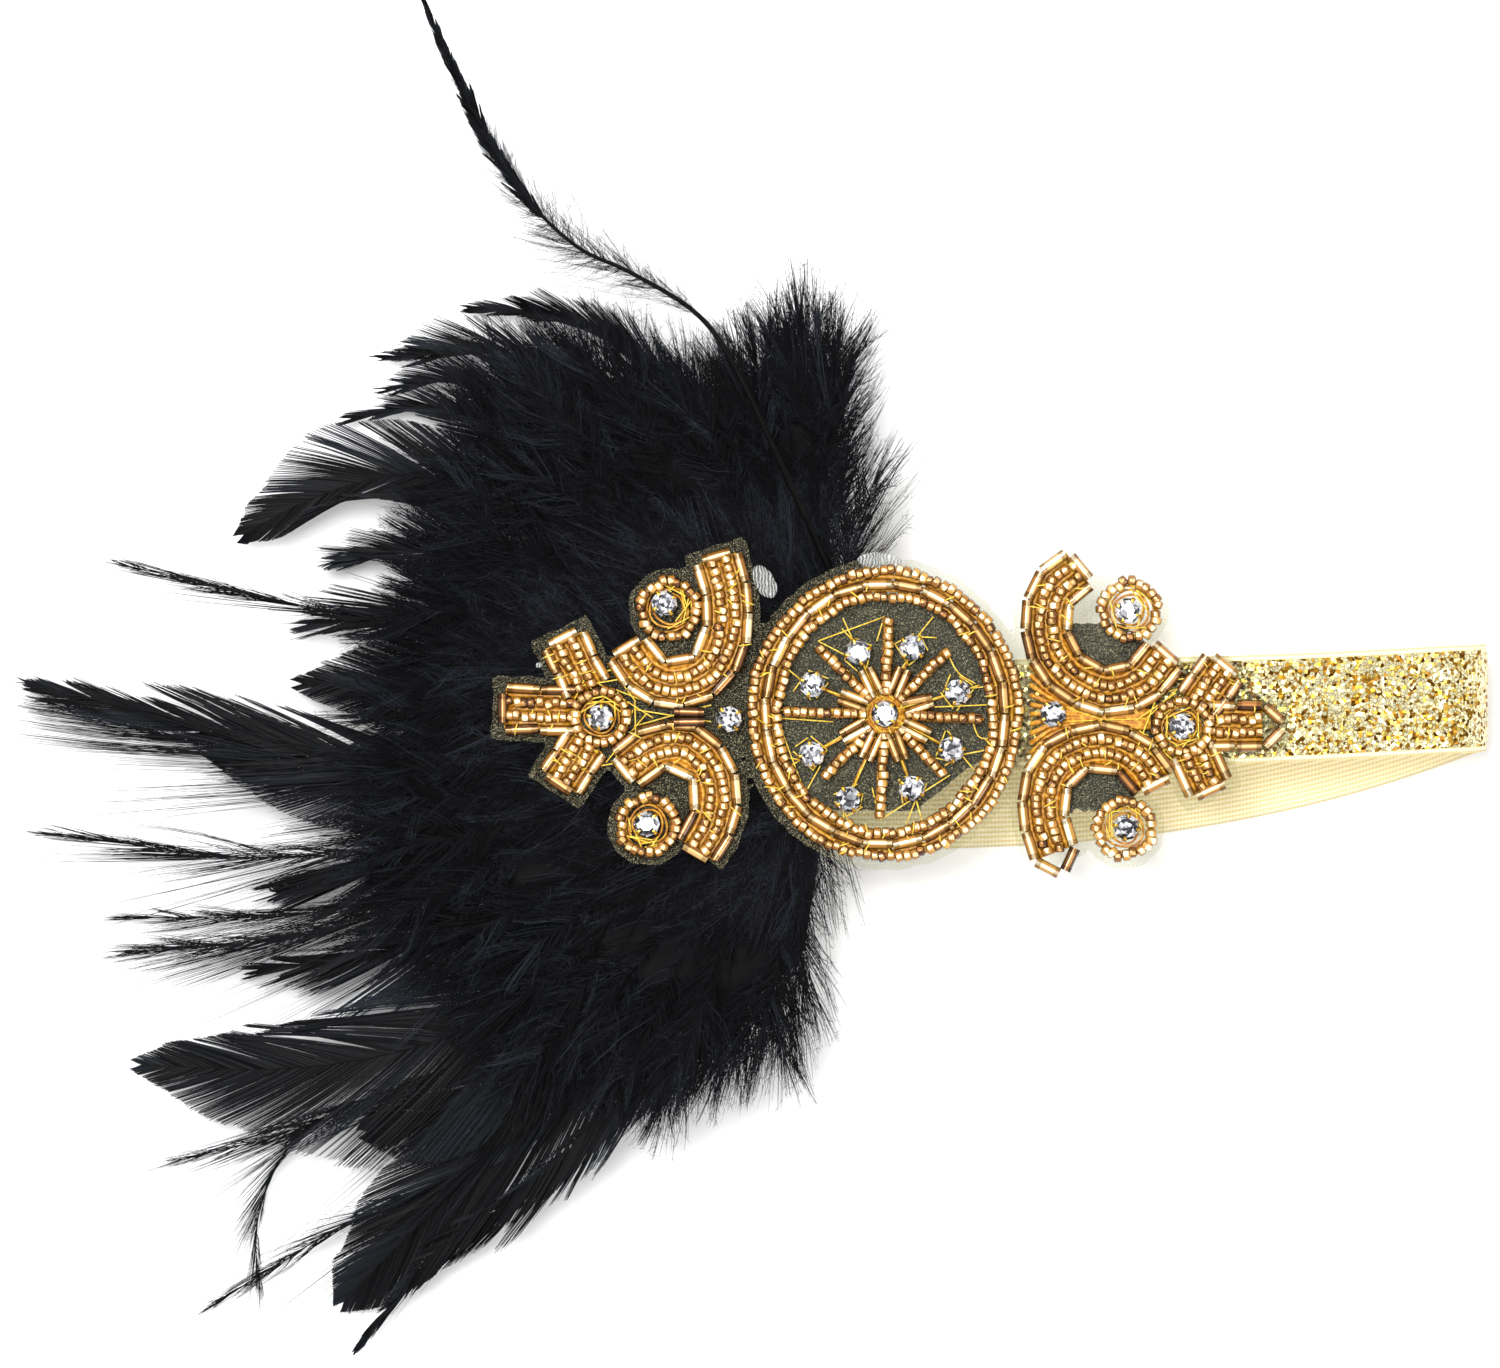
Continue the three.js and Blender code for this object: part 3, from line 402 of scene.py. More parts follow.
# Hot glue: clear, milky where it is thick, with pull marks in its skin
def clearGlue():
    material = newMaterial("clear_glue")
    place = addNode(material, "ShaderNodeTexCoord")
    pulls = addNode(material, "ShaderNodeTexWave", {"Scale": 420, "Distortion": 9, "Detail": 2},
                    {"Vector": place.outputs["Object"]}, bands_direction="X")
    ramp = addNode(material, "ShaderNodeValToRGB", links={0: pulls.outputs["Fac"]})
    setStops(ramp, [(0.2, "#B4B8B4"), (0.6, "#E6E8E4"), (0.9, "#FFFFFF")])
    bump = addNode(material, "ShaderNodeBump", {"Strength": 0.8, "Distance": 0.0006},
                   {"Height": pulls.outputs["Fac"]})
    cover = addNode(material, "ShaderNodeMath", {1: 0.3, 2: 0.16}, {0: pulls.outputs["Fac"]},
                    operation="MULTIPLY_ADD")
    resin = addNode(material, "ShaderNodeBsdfPrincipled", {"Roughness": 0.12, "IOR": 1.49},
                    {"Base Color": ramp.outputs["Color"], "Normal": bump.outputs["Normal"]})
    between = addNode(material, "ShaderNodeBsdfTransparent", {"Color": linear("#F8F8F6")})
    clear = addNode(material, "ShaderNodeMixShader",
                    links={0: cover.outputs[0], 1: between.outputs["BSDF"], 2: resin.outputs["BSDF"]})
    addNode(material, "ShaderNodeOutputMaterial", links={"Surface": clear.outputs["Shader"]})
    return material


glassBead = goldLinedGlass()
thread = yellowThread()
# the core threads carry the painted glow of the amber glass
core = paintedGlowCore()
organzaCloth = sageOrganza()
felt = blackFelt()
glitter = goldGlitter()
elastic = creamElastic()
crystal = foiledCrystal()
brass = giltBrass()
vaneBarb = dyedBarbs("dyed_vane", 0.4, 0.0, "#1C2028")
downBarb = dyedBarbs("dyed_down", 0.6, 0.02, "#272A33")
quillHorn = blackQuill()
glue = clearGlue()
print("materials made")


studio = {
    "frameWidth": 347.25,  # mm of the applique's plane across the photograph
    "lens": 200,
    "sensor": 36,
    "plane": 29.5,  # mm over the table
    "aim": (0.2, 0.4),  # mm in the row frame
    "key": {"size": 0.6, "place": (-0.28, 0.3, 1.55), "power": 23},
    "side": {"size": 0.5, "place": (0.95, -0.75, 1.1), "power": 7},
    "back": {"size": 0.6, "place": (-0.9, 1.0, 0.9), "power": 6},
    "sky": 0.74,
}


def buildStudio():
    scene = bpy.context.scene
    leaveAlone()
    bpy.ops.mesh.primitive_plane_add(size=30, location=(0, 0, 0))
    floor = bpy.context.object
    floor.name = "studio_floor"
    floor.data.materials.append(studioPaper())

    distance = studio["frameWidth"] * studio["lens"] / studio["sensor"]
    x, y = studio["aim"]
    z = studio["plane"] + distance
    bpy.ops.object.camera_add(location=(x * mm, y * mm, z * mm), rotation=(0, 0, 0))
    camera = bpy.context.object
    camera.data.lens = studio["lens"]
    camera.data.sensor_width = studio["sensor"]
    camera.data.clip_end = 50
    scene.camera = camera

    for name in ("key", "side", "back"):
        lamp = studio[name]
        place = Vector(lamp["place"])
        bpy.ops.object.light_add(type="AREA", location=place)
        light = bpy.context.object
        light.name = name + "_softbox"
        light.data.shape = "SQUARE"
        light.data.size = lamp["size"]
        light.data.energy = lamp["power"]
        light.rotation_euler = (-place).to_track_quat("-Z", "Y").to_euler()
        light.visible_camera = False

    world = bpy.data.worlds.new("studio_air")
    world.use_nodes = True
    air = world.node_tree.nodes["Background"]
    air.inputs["Color"].default_value = (1, 1, 1, 1)
    air.inputs["Strength"].default_value = studio["sky"]
    scene.world = world
    scene.view_settings.view_transform = "Standard"


buildStudio()
print("studio built")


def evenly(line, count):
    steps = np.linalg.norm(np.diff(line, axis=0), axis=1)
    run = np.concatenate([[0], np.cumsum(steps)])
    wanted = np.linspace(0, run[-1], count)
    return np.column_stack([np.interp(wanted, run, line[:, k]) for k in range(line.shape[1])])


def lengthOf(line):
    return float(np.linalg.norm(np.diff(line, axis=0), axis=1).sum())


def bentLine(points, count):  # a smooth line through points, as a bent wire lies, in equal steps
    points = np.array(points, float)
    if len(points) == 2:
        return evenly(points, count)
    ends = np.vstack([2 * points[0] - points[1], points, 2 * points[-1] - points[-2]])
    parts = []
    t = np.linspace(0, 1, 24, endpoint=False)[:, None]
    for i in range(len(points) - 1):
        a, b, c, d = ends[i:i + 4]
        ab, bc, cd = (max(np.linalg.norm(q - p), 1e-6) ** 0.5 for p, q in ((a, b), (b, c), (c, d)))
        leave = ((b - a) / ab - (c - a) / (ab + bc) + (c - b) / bc) * bc
        reach = ((c - b) / bc - (d - b) / (bc + cd) + (d - c) / cd) * bc
        parts.append(b + leave * t + (3 * (c - b) - 2 * leave - reach) * t ** 2
                     + (2 * (b - c) + leave + reach) * t ** 3)
    parts.append(points[-1:])
    return evenly(np.vstack(parts), count)


def leftOf(line):
    along = np.gradient(line, axis=0)
    along /= np.maximum(np.linalg.norm(along, axis=1, keepdims=True), 1e-9)
    return np.column_stack([-along[:, 1], along[:, 0]])


def beside(line, offset):
    return line + offset * leftOf(line)


def oval(halfWidth, halfHeight, count, x=0, y=0, sway=0):  # sway bends it as a hand-laid string is bent
    turn = np.linspace(0, 2 * math.pi, count)
    off = sway * (np.sin(5 * turn + x) + 0.7 * np.sin(9 * turn + 2 * y + 1) + 0.5 * np.sin(17 * turn + 2))
    return np.column_stack([x + (halfWidth + off) * np.cos(turn), y + (halfHeight + off) * np.sin(turn)])


def tubes(lines, radius, sides=5, thin=1):  # closed round threads along lines of (x, y, z) in millimetres
    points, faces = [], []
    for n, line in enumerate(lines):
        wide = (radius[n] if isinstance(radius, list) else radius) * np.linspace(1, thin, len(line))
        line = np.asarray(line, float)
        along = np.gradient(line, axis=0)
        along /= np.maximum(np.linalg.norm(along, axis=1, keepdims=True), 1e-9)
        side = np.cross(along, [0, 0, 1])
        side /= np.maximum(np.linalg.norm(side, axis=1, keepdims=True), 1e-9)
        up = np.cross(side, along)
        first = len(points)
        turn = 2 * math.pi * np.arange(sides) / sides
        spoke = np.cos(turn)[None, :, None] * side[:, None] + np.sin(turn)[None, :, None] * up[:, None]
        ring = line[:, None] + wide[:, None, None] * spoke
        points.extend(ring.reshape(-1, 3).tolist())
        for i in range(len(line) - 1):
            for k in range(sides):
                a, b = first + i * sides + k, first + i * sides + (k + 1) % sides
                faces.append([a, a + sides, b + sides, b])
        faces.append(list(range(first, first + sides)))
        faces.append(list(range(first + (len(line) - 1) * sides, first + len(line) * sides))[::-1])
    return points, faces


band = {
    "width": 25, "thickness": 1.2, "selvage": 1.3,
    "loopRight": 141, "loopLeft": 112, "rightTurn": 12, "leftTurn": 6,
    "lowerShift": 19.2, "rightEndShift": 4, "leftEndShift": -3, "bend": 2.4,
    "heights": [(-106, 13.2), (-23, 24.2), (5, 24.2), (22, 27.2), (64, 27.2), (74, 28.7), (93.8, 28.7),
                (129, 25.2)],
    "columns": 20,
}


def smoothStep(x, low, high):
    t = np.clip((x - low) / (high - low), 0, 1)
    return t * t * (3 - 2 * t)


def wallTop(x):
    heights = band["heights"]
    top = heights[0][1]
    for (x0, z0), (x1, z1) in zip(heights, heights[1:]):
        top = top + (z1 - z0) * smoothStep(x, x0, x1)
    return top


def wallShift(x, shift):
    share = (x / band["loopRight"] if x > 0 else -x / band["loopLeft"]) ** band["bend"]
    end = band["rightEndShift"] if x > 0 else band["leftEndShift"]
    return shift * (1 - share) + end * share


def bandLine():
    half = band["thickness"] / 2
    rightTurn, leftTurn, lower = band["rightTurn"], band["leftTurn"], band["lowerShift"]
    right = band["loopRight"] - half - rightTurn
    left = -band["loopLeft"] + half + leftTurn
    line = [(x, wallShift(x, -lower), half) for x in np.linspace(left, right, 110, endpoint=False)]
    for turned in np.linspace(0, math.pi, 28, endpoint=False):
        x = right + rightTurn * math.sin(turned)
        upper = (1 - math.cos(turned)) / 2
        line.append((x, wallShift(x, -lower * (1 - upper)), half + rightTurn * (1 - math.cos(turned))))
    line += [(x, wallShift(x, 0), wallTop(x) - half) for x in np.linspace(right, left, 220, endpoint=False)]
    for turned in np.linspace(0, math.pi, 20, endpoint=False):
        x = left - leftTurn * math.sin(turned)
        upper = (1 + math.cos(turned)) / 2
        line.append((x, wallShift(x, -lower * (1 - upper)), half + leftTurn * (1 + math.cos(turned))))
    return np.array(line)


def buildBand():
    line = bandLine()
    count = len(line)
    along = np.roll(line, -1, axis=0) - np.roll(line, 1, axis=0)
    outward = np.column_stack([along[:, 2], np.zeros(count), -along[:, 0]])
    outward *= (band["thickness"] / 2) / np.linalg.norm(outward, axis=1, keepdims=True)
    half = band["width"] / 2
    edge = half - band["selvage"]
    across = np.concatenate([[-half, -edge], np.linspace(-edge, edge, band["columns"])[1:-1], [edge, half]])
    points, uv = [], []
    run = np.concatenate([[0], np.cumsum(np.linalg.norm(np.diff(line, axis=0), axis=1))])
    for side in (1, -1):  # both faces are alike and flat, drawn in to 0.55 over the selvages
        for i in range(count):
            for y in across:
                thin = 0.55 if abs(y) > edge - 0.01 else 1
                p = line[i] + outward[i] * side * thin
                points.append((p[0], p[1] + y, p[2]))
                uv.append((run[i] * mm, y * mm))
    wide, faces, kinds = len(across), [], []
    for side in (0, 1):
        for i in range(count):
            for k in range(wide - 1):
                a = side * count * wide + i * wide + k
                b = side * count * wide + ((i + 1) % count) * wide + k
                faces.append([a, b, b + 1, a + 1] if side else [a, a + 1, b + 1, b])
                kinds.append(1 if side == 0 and 0 < k < wide - 2 else 0)
    for k in (0, wide - 1):
        for i in range(count):
            a, b = i * wide + k, ((i + 1) % count) * wide + k
            c, d = a + count * wide, b + count * wide
            faces.append([a, b, d, c] if k == 0 else [a, c, d, b])
            kinds.append(0)
    piece = meshPiece("band_elastic", inRow(points), faces, [elastic, glitter], uv)
    piece.data.polygons.foreach_set("material_index", kinds)
    leaveAlone()
    piece.select_set(True)
    bpy.context.view_layer.objects.active = piece
    bpy.ops.object.mode_set(mode="EDIT")
    bpy.ops.mesh.select_all(action="SELECT")
    bpy.ops.mesh.normals_make_consistent(inside=False)
    bpy.ops.object.mode_set(mode="OBJECT")
    standIn(piece, "gold_elastic", "elastic_band")


buildBand()
print("band laid")


medallion = {"halfWidth": 31.8, "halfHeight": 34.2, "fleur": 60}
rings = {"outer": (1.1, 0.16), "inner": (6.8, -0.2), "bugles": 3.95}  # in from the rim, sway
rows = {"seed": 1.55, "bugle": 4.75, "floor": 30.3, "edge": 5.9}


def fleurSpot(side, out, up):
    return side * (medallion["halfWidth"] + out * medallion["fleur"]), up * medallion["fleur"]


scrolls = {
    "left_upper_scroll": (-1, [(.118, .6), (.08, .46), (.09, .27), (.168, .15), (.3, .113), (.405, .165),
                               (.462, .25)], False),
    "left_lower_scroll": (-1, [(.47, -.21), (.37, -.135), (.25, -.118), (.155, -.19), (.118, -.31),
                               (.14, -.43), (.195, -.525)], False),
    "right_upper_scroll": (1, [(.215, .56), (.12, .48), (.09, .36), (.115, .23), (.215, .125), (.34, .085),
                               (.46, .125), (.545, .225)], False),
    "right_lower_scroll": (1, [(.125, -.535), (.085, -.42), (.082, -.3), (.13, -.19), (.24, -.13),
                               (.36, -.13), (.46, -.19), (.508, -.265)], True),
}
eyes = {
    "left_upper_eye": (-1, .303, .405), "left_lower_eye": (-1, .384, -.427),
    "right_upper_eye": (1, .412, .402), "right_lower_eye": (1, .392, -.44),
}
trefoils = {
    "left_trefoil": (-1, (.568, -.012), [(.618, .095, .708, .285, False), (.665, .012, .935, .022, False),
                                         (.622, -.108, .723, -.262, False)]),
    "right_trefoil": (1, (.615, -.047), [(.672, .038, .775, .178, False), (.715, -.045, .925, -.046, True),
                                         (.65, -.137, .72, -.285, False)]),
}
eyeRadius = 6.42
trefoilRadius = 6


def scrollLine(name):
    side, path, _ = scrolls[name]
    return bentLine([fleurSpot(side, out, up) for out, up in path], 60)


def petalLines(name):
    side, _, petals = trefoils[name]
    return [(evenly(np.array([fleurSpot(side, a, b), fleurSpot(side, c, d)]), 20), pointed)
            for a, b, c, d, pointed in petals]


def besideLine(x, y, line, reach):  # how far inside a strip of that reach each point is
    best = np.full(x.shape, -1e9)
    for a, b in zip(line, line[1:]):
        run = b - a
        t = np.clip(((x - a[0]) * run[0] + (y - a[1]) * run[1]) / max(run @ run, 1e-9), 0, 1)
        best = np.maximum(best, reach - np.hypot(x - a[0] - t * run[0], y - a[1] - t * run[1]))
    return best


def alongStrip(x, y, line, reach, beyond):  # the same with flat ends that go a little past the line
    depth = besideLine(x, y, line, reach)
    for tip, before in ((line[0], line[1]), (line[-1], line[-2])):
        way = (tip - before) / np.linalg.norm(tip - before)
        past = (x - tip[0]) * way[0] + (y - tip[1]) * way[1]
        near = np.hypot(x - tip[0], y - tip[1]) < 1.6 * reach
        depth = np.where(near & (past > 0), np.minimum(depth, beyond - past), depth)
    return depth


def insidePolygon(x, y, corners):
    inside = np.zeros(x.shape, bool)
    for (x0, y0), (x1, y1) in zip(corners, np.roll(corners, -1, axis=0)):
        hit = ((y0 > y) != (y1 > y)) & (x < (x1 - x0) * (y - y0) / (y1 - y0 + 1e-12) + x0)
        inside ^= hit
    edge = besideLine(x, y, np.vstack([corners, corners[:1]]), 0)
    return np.where(inside, -edge, edge)


def insideOrganza(x, y):
    margin, edge = 1.9, rows["edge"] + 1.6
    a, b = medallion["halfWidth"] + margin, medallion["halfHeight"] + margin
    away = np.hypot(x / a, y / b)
    best = (1 - away) * (a + b) / 2
    for name in scrolls:
        line = scrollLine(name)[::4]
        best = np.maximum(best, alongStrip(x, y, line, edge, 3))
        best = np.maximum(best, insidePolygon(x, y, line))
    for side, out, up in eyes.values():
        ex, ey = fleurSpot(side, out, up)
        best = np.maximum(best, eyeRadius + 1.1 + margin - np.hypot(x - ex, y - ey))
    for name, (side, (out, up), _) in trefoils.items():
        tx, ty = fleurSpot(side, out, up)
        best = np.maximum(best, trefoilRadius + 1.1 + margin - np.hypot(x - tx, y - ty))
        for line, pointed in petalLines(name):
            best = np.maximum(best, alongStrip(x, y, line, edge, 6.5 if pointed else 3))
        sx, _ = fleurSpot(side, -0.1, 0)
        low, high = min(sx, tx), max(sx, tx)
        best = np.maximum(best, np.minimum(edge - np.abs(y), np.minimum(x - low, high - x)))
    scissors = 0.22 * np.sin(x * 0.9 + 1.3 * np.sin(y * 0.31)) * np.cos(y * 0.8)  # cut by hand
    return best + scissors


def cutSheet(name, inside, box, cell, heightAt, material):
    xs, ys = np.arange(box[0], box[2], cell), np.arange(box[1], box[3], cell)
    x, y = np.meshgrid(xs, ys)
    x, y = x.ravel(), y.ravel()
    depth = inside(x, y)
    wide = len(xs)
    corner = (np.arange(len(ys) - 1)[:, None] * wide + np.arange(wide - 1)[None]).ravel()
    quads = np.column_stack([corner, corner + 1, corner + 1 + wide, corner + wide])
    quads = quads[(depth[quads] > 0).any(axis=1)]
    used = np.unique(quads)
    for _ in range(3):  # corners past the cut are pulled in to it
        out = used[inside(x[used], y[used]) < 0]
        d = inside(x[out], y[out])
        gx = (inside(x[out] + 0.05, y[out]) - inside(x[out] - 0.05, y[out])) / 0.1
        gy = (inside(x[out], y[out] + 0.05) - inside(x[out], y[out] - 0.05)) / 0.1
        size = np.maximum(gx ** 2 + gy ** 2, 0.2)
        x[out] -= d * gx / size
        y[out] -= d * gy / size
    number = np.full(len(x), -1)
    number[used] = np.arange(len(used))
    z = heightAt(x[used], y[used])
    points = np.column_stack([x[used], y[used], z])
    return meshPiece(name, inRow(points), number[quads], [material]), len(quads) * cell * cell


organza = {"level": 29.75, "cell": 0.8, "box": (-98, -46, 97, 46), "flat": (96, 190)}


def buildOrganza():
    def heightAt(x, y):
        waves = 0.12 * np.sin(x * 0.23 + 0.5) * np.cos(y * 0.31)
        return organza["level"] + waves + 0.1 * np.sin(x * 0.61 + y * 0.43)

    piece, area = cutSheet("organza_sheet", insideOrganza, organza["box"], organza["cell"], heightAt,
                           organzaCloth)
    standIn(piece, "green_organza", "organza_backing")


pad = {
    "level": 28.5, "cell": 0.9, "thickness": 1.15,
    "corners": {
        "medallion": [(-29, -15), (-22, -22), (7, -22.5), (25, -8), (26, 12), (19, 22), (9, 26), (-10, 26.5),
                      (-22, 23), (-29, 14)],
        "fleur": [(38, -22), (55, -22), (62, -15), (62, 14), (55, 21), (38, 21)],
    },
}


def buildPad(which):
    corners = np.array(pad["corners"][which], float)

    def inside(x, y):
        nibble = 0.2 * np.sin(x * 2.1) * np.sin(y * 1.7 + 1)
        return insidePolygon(x, y, corners) + nibble

    def heightAt(x, y):
        return pad["level"] + 0.06 * np.sin(x * 1.9) * np.sin(y * 2.3)

    low, high = corners.min(axis=0) - 1, corners.max(axis=0) + 1
    box = (low[0], low[1], high[0], high[1])
    piece, area = cutSheet(f"felt_{which}_pad", inside, box, pad["cell"], heightAt, felt)
    leaveAlone()
    piece.select_set(True)
    bpy.context.view_layer.objects.active = piece
    wall = piece.modifiers.new("felt_thickness", "SOLIDIFY")
    wall.thickness = pad["thickness"] * mm
    wall.offset = -1
    bpy.ops.object.modifier_apply(modifier=wall.name)
    standIn(piece, "black_felt", f"{which}_pad")


for which in pad["corners"]:
    buildPad(which)
buildOrganza()
print("felt and organza cut")


seedBead = {"width": 2.6, "length": 1.3, "pitch": 1.84, "hole": 0.9, "around": 9}
bugleBead = {"width": 2.6, "length": 6.7, "gap": 0.5, "around": 10, "hole": 0.42}
sewing = {"turn": 0.17, "size": 0.06, "stray": 0.15, "lean": 0.19, "cord": 0.6, "stitch": 0.17}
beadRandom = np.random.default_rng(11)


def modelSeedBead():
    leaveAlone()
    radius, hole = seedBead["width"] / 2 * mm, seedBead["hole"] / 2 * mm
    bpy.ops.mesh.primitive_cylinder_add(vertices=seedBead["around"], radius=radius,
                                        depth=seedBead["length"] * mm, end_fill_type="NGON")
    bead = bpy.context.object
    pickFaces(bead, lambda face: abs(face.normal.z) > 0.9)
    bpy.ops.mesh.inset(thickness=0.3 * mm, use_individual=True)
    bpy.ops.mesh.select_all(action="DESELECT")
    for way in (1, -1):  # the rims are drawn in, and the ends pushed out a little to round them
        pickFaces(bead, lambda face: face.normal.z * way > 0.9 and len(face.vertices) > 4)
        bpy.ops.transform.translate(value=(0, 0, 0.24 * mm * way))
        bpy.ops.mesh.inset(thickness=radius - 0.3 * mm - hole, depth=-0.12 * mm)
    bpy.ops.object.mode_set(mode="OBJECT")
    bpy.ops.object.shade_smooth_by_angle(angle=math.radians(70))
    bead.data.materials.append(glassBead)
    return bead


def modelBugleBead():  # one millimetre long, so a copy is drawn out to its own length
    leaveAlone()
    bpy.ops.mesh.primitive_cylinder_add(vertices=bugleBead["around"], radius=bugleBead["width"] / 2 * mm,
                                        depth=mm, end_fill_type="NGON")
    bead = bpy.context.object
    bead.data.materials.append(glassBead)
    pickFaces(bead, lambda face: abs(face.normal.z) > 0.9)
    bpy.ops.mesh.inset(thickness=(bugleBead["width"] / 2 * (1 - bugleBead["hole"])) * mm,
                       use_individual=True)
    for way in (1, -1):
        pickFaces(bead, lambda face: face.normal.z * way > 0.9 and face.area < 0.9 * mm * mm)
        bpy.ops.mesh.extrude_region_move(TRANSFORM_OT_translate={"value": (0, 0, -0.2 * mm * way)})
    bpy.ops.object.mode_set(mode="OBJECT")
    bpy.ops.object.shade_smooth_by_angle(angle=math.radians(40))
    return bead


def lieAlong(place, direction, size=(1, 1, 1), roll=0.0):
    turn = Vector(direction).to_track_quat("Z", "Y").to_matrix().to_4x4()
    return (Matrix.Translation(Vector(inRow(place))) @ turn @ Matrix.Rotation(roll, 4, "Z")
            @ Matrix.Diagonal((*size, 1)))


def copyTo(name, model, places):  # each copy has its own mesh and tone, and all are joined
    copies = []
    for matrix, tone in places:
        copy = model.copy()
        copy.data = model.data.copy()
        copy.data.transform(matrix)
        # each bead's painted highlight is shifted at random by the sewing lean
        highlightShifts = beadRandom.normal(0, sewing["lean"], 2)
        for key, value in (("tone", tone), ("highlightShiftX", highlightShifts[0]), ("highlightShiftY", highlightShifts[1])):
            markPoints(copy, key, [value] * len(copy.data.vertices))
        bpy.context.scene.collection.objects.link(copy)
        copies.append(copy)
    return joinAll(name, copies)


def joinAll(name, parts):
    leaveAlone()
    for part in parts:
        part.select_set(True)
    bpy.context.view_layer.objects.active = parts[0]
    if len(parts) > 1:
        bpy.ops.object.join()
    piece = bpy.context.view_layer.objects.active
    piece.name = name
    piece.data.name = name
    return piece


def seedPlaces(line):
    count = max(2, round(lengthOf(line) / seedBead["pitch"]))
    ends = evenly(line, 2 * count + 1)
    spots, ahead = ends[1::2], ends[2::2] - ends[:-1:2]
    drift = beadRandom.normal(0, 1, (count, 4))
    places = []
    for i, (p, a) in enumerate(zip(spots, ahead)):
        angle = math.atan2(a[1], a[0]) + sewing["turn"] * drift[i, 0]
        size = 1 + sewing["size"] * drift[i, 1]
        x, y = p + sewing["stray"] * drift[i, 2:]
        place = (x, y, rows["floor"] + 1.1 * size)
        tone = float(np.clip(0.55 + 0.24 * drift[i, 2] + 0.12 * drift[i, 1], 0, 1))
        places.append((lieAlong(place, (math.cos(angle), math.sin(angle), 0), (size, size, 1),
                                beadRandom.uniform(0, 6)), tone))
    return places


def buglePlace(a, b, tone=None, stout=1.0):
    a, b = np.asarray(a, float), np.asarray(b, float)
    run = b - a
    length = float(np.hypot(*run)) * (1 + 0.02 * beadRandom.normal())
    angle = math.atan2(run[1], run[0]) + 0.035 * beadRandom.normal()
    place = ((a[0] + b[0]) / 2, (a[1] + b[1]) / 2, rows["floor"] + 1.05)
    tone = float(np.clip(0.5 + 0.27 * beadRandom.normal(), 0, 1)) if tone is None else tone
    return lieAlong(place, (math.cos(angle), math.sin(angle), 0), (stout, stout, length),
                    beadRandom.uniform(0, 6)), tone


def buglesAlong(line):
    total = lengthOf(line)
    count = max(1, round((total + bugleBead["gap"]) / (bugleBead["length"] + bugleBead["gap"])))
    pitch = total / count
    half = (pitch - bugleBead["gap"]) / 2
    fine = evenly(line, 400)
    run = np.linspace(0, total, 400)

    def at(d):
        return np.array([np.interp(d, run, fine[:, 0]), np.interp(d, run, fine[:, 1])])

    return [buglePlace(at((i + 0.5) * pitch - half), at((i + 0.5) * pitch + half)) for i in range(count)]


def endBugles(line, atEnd, pointed):
    tip = line[-1] if atEnd else line[0]
    across = leftOf(line)[-1 if atEnd else 0]
    outward = np.array([across[1], -across[0]]) * (1 if atEnd else -1)

    def at(side, out):
        return tip + across * side + outward * out

    if not pointed:
        return [buglePlace(at(-bugleBead["length"] / 2, 0.5), at(bugleBead["length"] / 2, 0.5))]
    rise = math.sqrt(bugleBead["length"] ** 2 - rows["bugle"] ** 2)
    return [buglePlace(at(side, 0.5), at(side / 6, rise)) for side in (-rows["bugle"], rows["bugle"])]


def couching(name, lines, radius=0.34, material=None):
    level = rows["floor"] + 0.25
    solid = [line if line.shape[1] == 3 else np.column_stack([line, np.full(len(line), level)])
             for line in lines]
    points, faces = tubes(solid, radius)
    return meshPiece(name, inRow(points), faces, [material or thread])


def hopsOver(line, stitches, starts):  # stitches that come up between the rows and cross a bead
    fine = evenly(line, max(60, int(lengthOf(line) * 1.5)))
    left = leftOf(fine)
    hops = []
    for _ in range(stitches):
        i = beadRandom.integers(3, len(fine) - 4)
        start = beadRandom.choice(starts)
        a = fine[i] + left[i] * start
        b = fine[i + beadRandom.integers(-3, 4)] + left[i] * (start + beadRandom.choice([1.6, 3.1]))
        hop = np.array([[*a, 0.6], [*(a * 0.7 + b * 0.3), 2.8], [*(a * 0.3 + b * 0.7), 2.8], [*b, 0.6]])
        hops.append(bentLine(hop + [0, 0, rows["floor"]], 7))
    return couching("stitches", hops, sewing["stitch"])


def threadBeds(line, stitches):
    # the beds fill the gaps between the rows with the core's painted glow of the amber glass
    beds = [beside(line, offset) for offset in (-4.2, -3.2, -2.1, -0.95, 0, 0.95, 2.1, 3.2, 4.2)]
    return [couching("core", beds, sewing["cord"], core), hopsOver(line, stitches, [-4.6, -3.1, 0, 3.1])]


seedModel = modelSeedBead()
bugleModel = modelBugleBead()


def beadPiece(name, seeds, bugles, threads):
    parts = [copyTo(name + "_seeds", seedModel, seeds)] if seeds else []
    if bugles:
        parts.append(copyTo(name + "_bugles", bugleModel, bugles))
    return joinAll(name, parts + threads)


def loose(points, height=0.9):  # a thread from bead to bead, a little slack
    points = np.array(points, float)
    high = rows["floor"] + height + 0.5 * beadRandom.uniform(-1, 1, len(points))
    return bentLine(np.column_stack([points, high]), 4 * len(points))


def tight(a, b, height=0.9):  # a thread pulled straight between two stitches
    high = rows["floor"] + height + 0.4 * beadRandom.uniform(-1, 1, 2)
    return evenly(np.array([[a[0], a[1], high[0]], [b[0], b[1], high[1]]], float), 4)


def ringThreads(x, y, radius, count):  # short straight threads that hold a ring and its stone
    lines = []
    turn = beadRandom.uniform(0, 2 * math.pi)
    for _ in range(count):
        start, end = beadRandom.uniform(0.55, 1.25, 2) * radius
        onward = turn + beadRandom.choice([-1, 1]) * beadRandom.uniform(0.7, 1.7)
        lines.append(tight((x + start * math.cos(turn), y + start * math.sin(turn)),
                           (x + end * math.cos(onward), y + end * math.sin(onward)), 1.3))
        turn = onward + beadRandom.uniform(0, 0.5)
    return lines


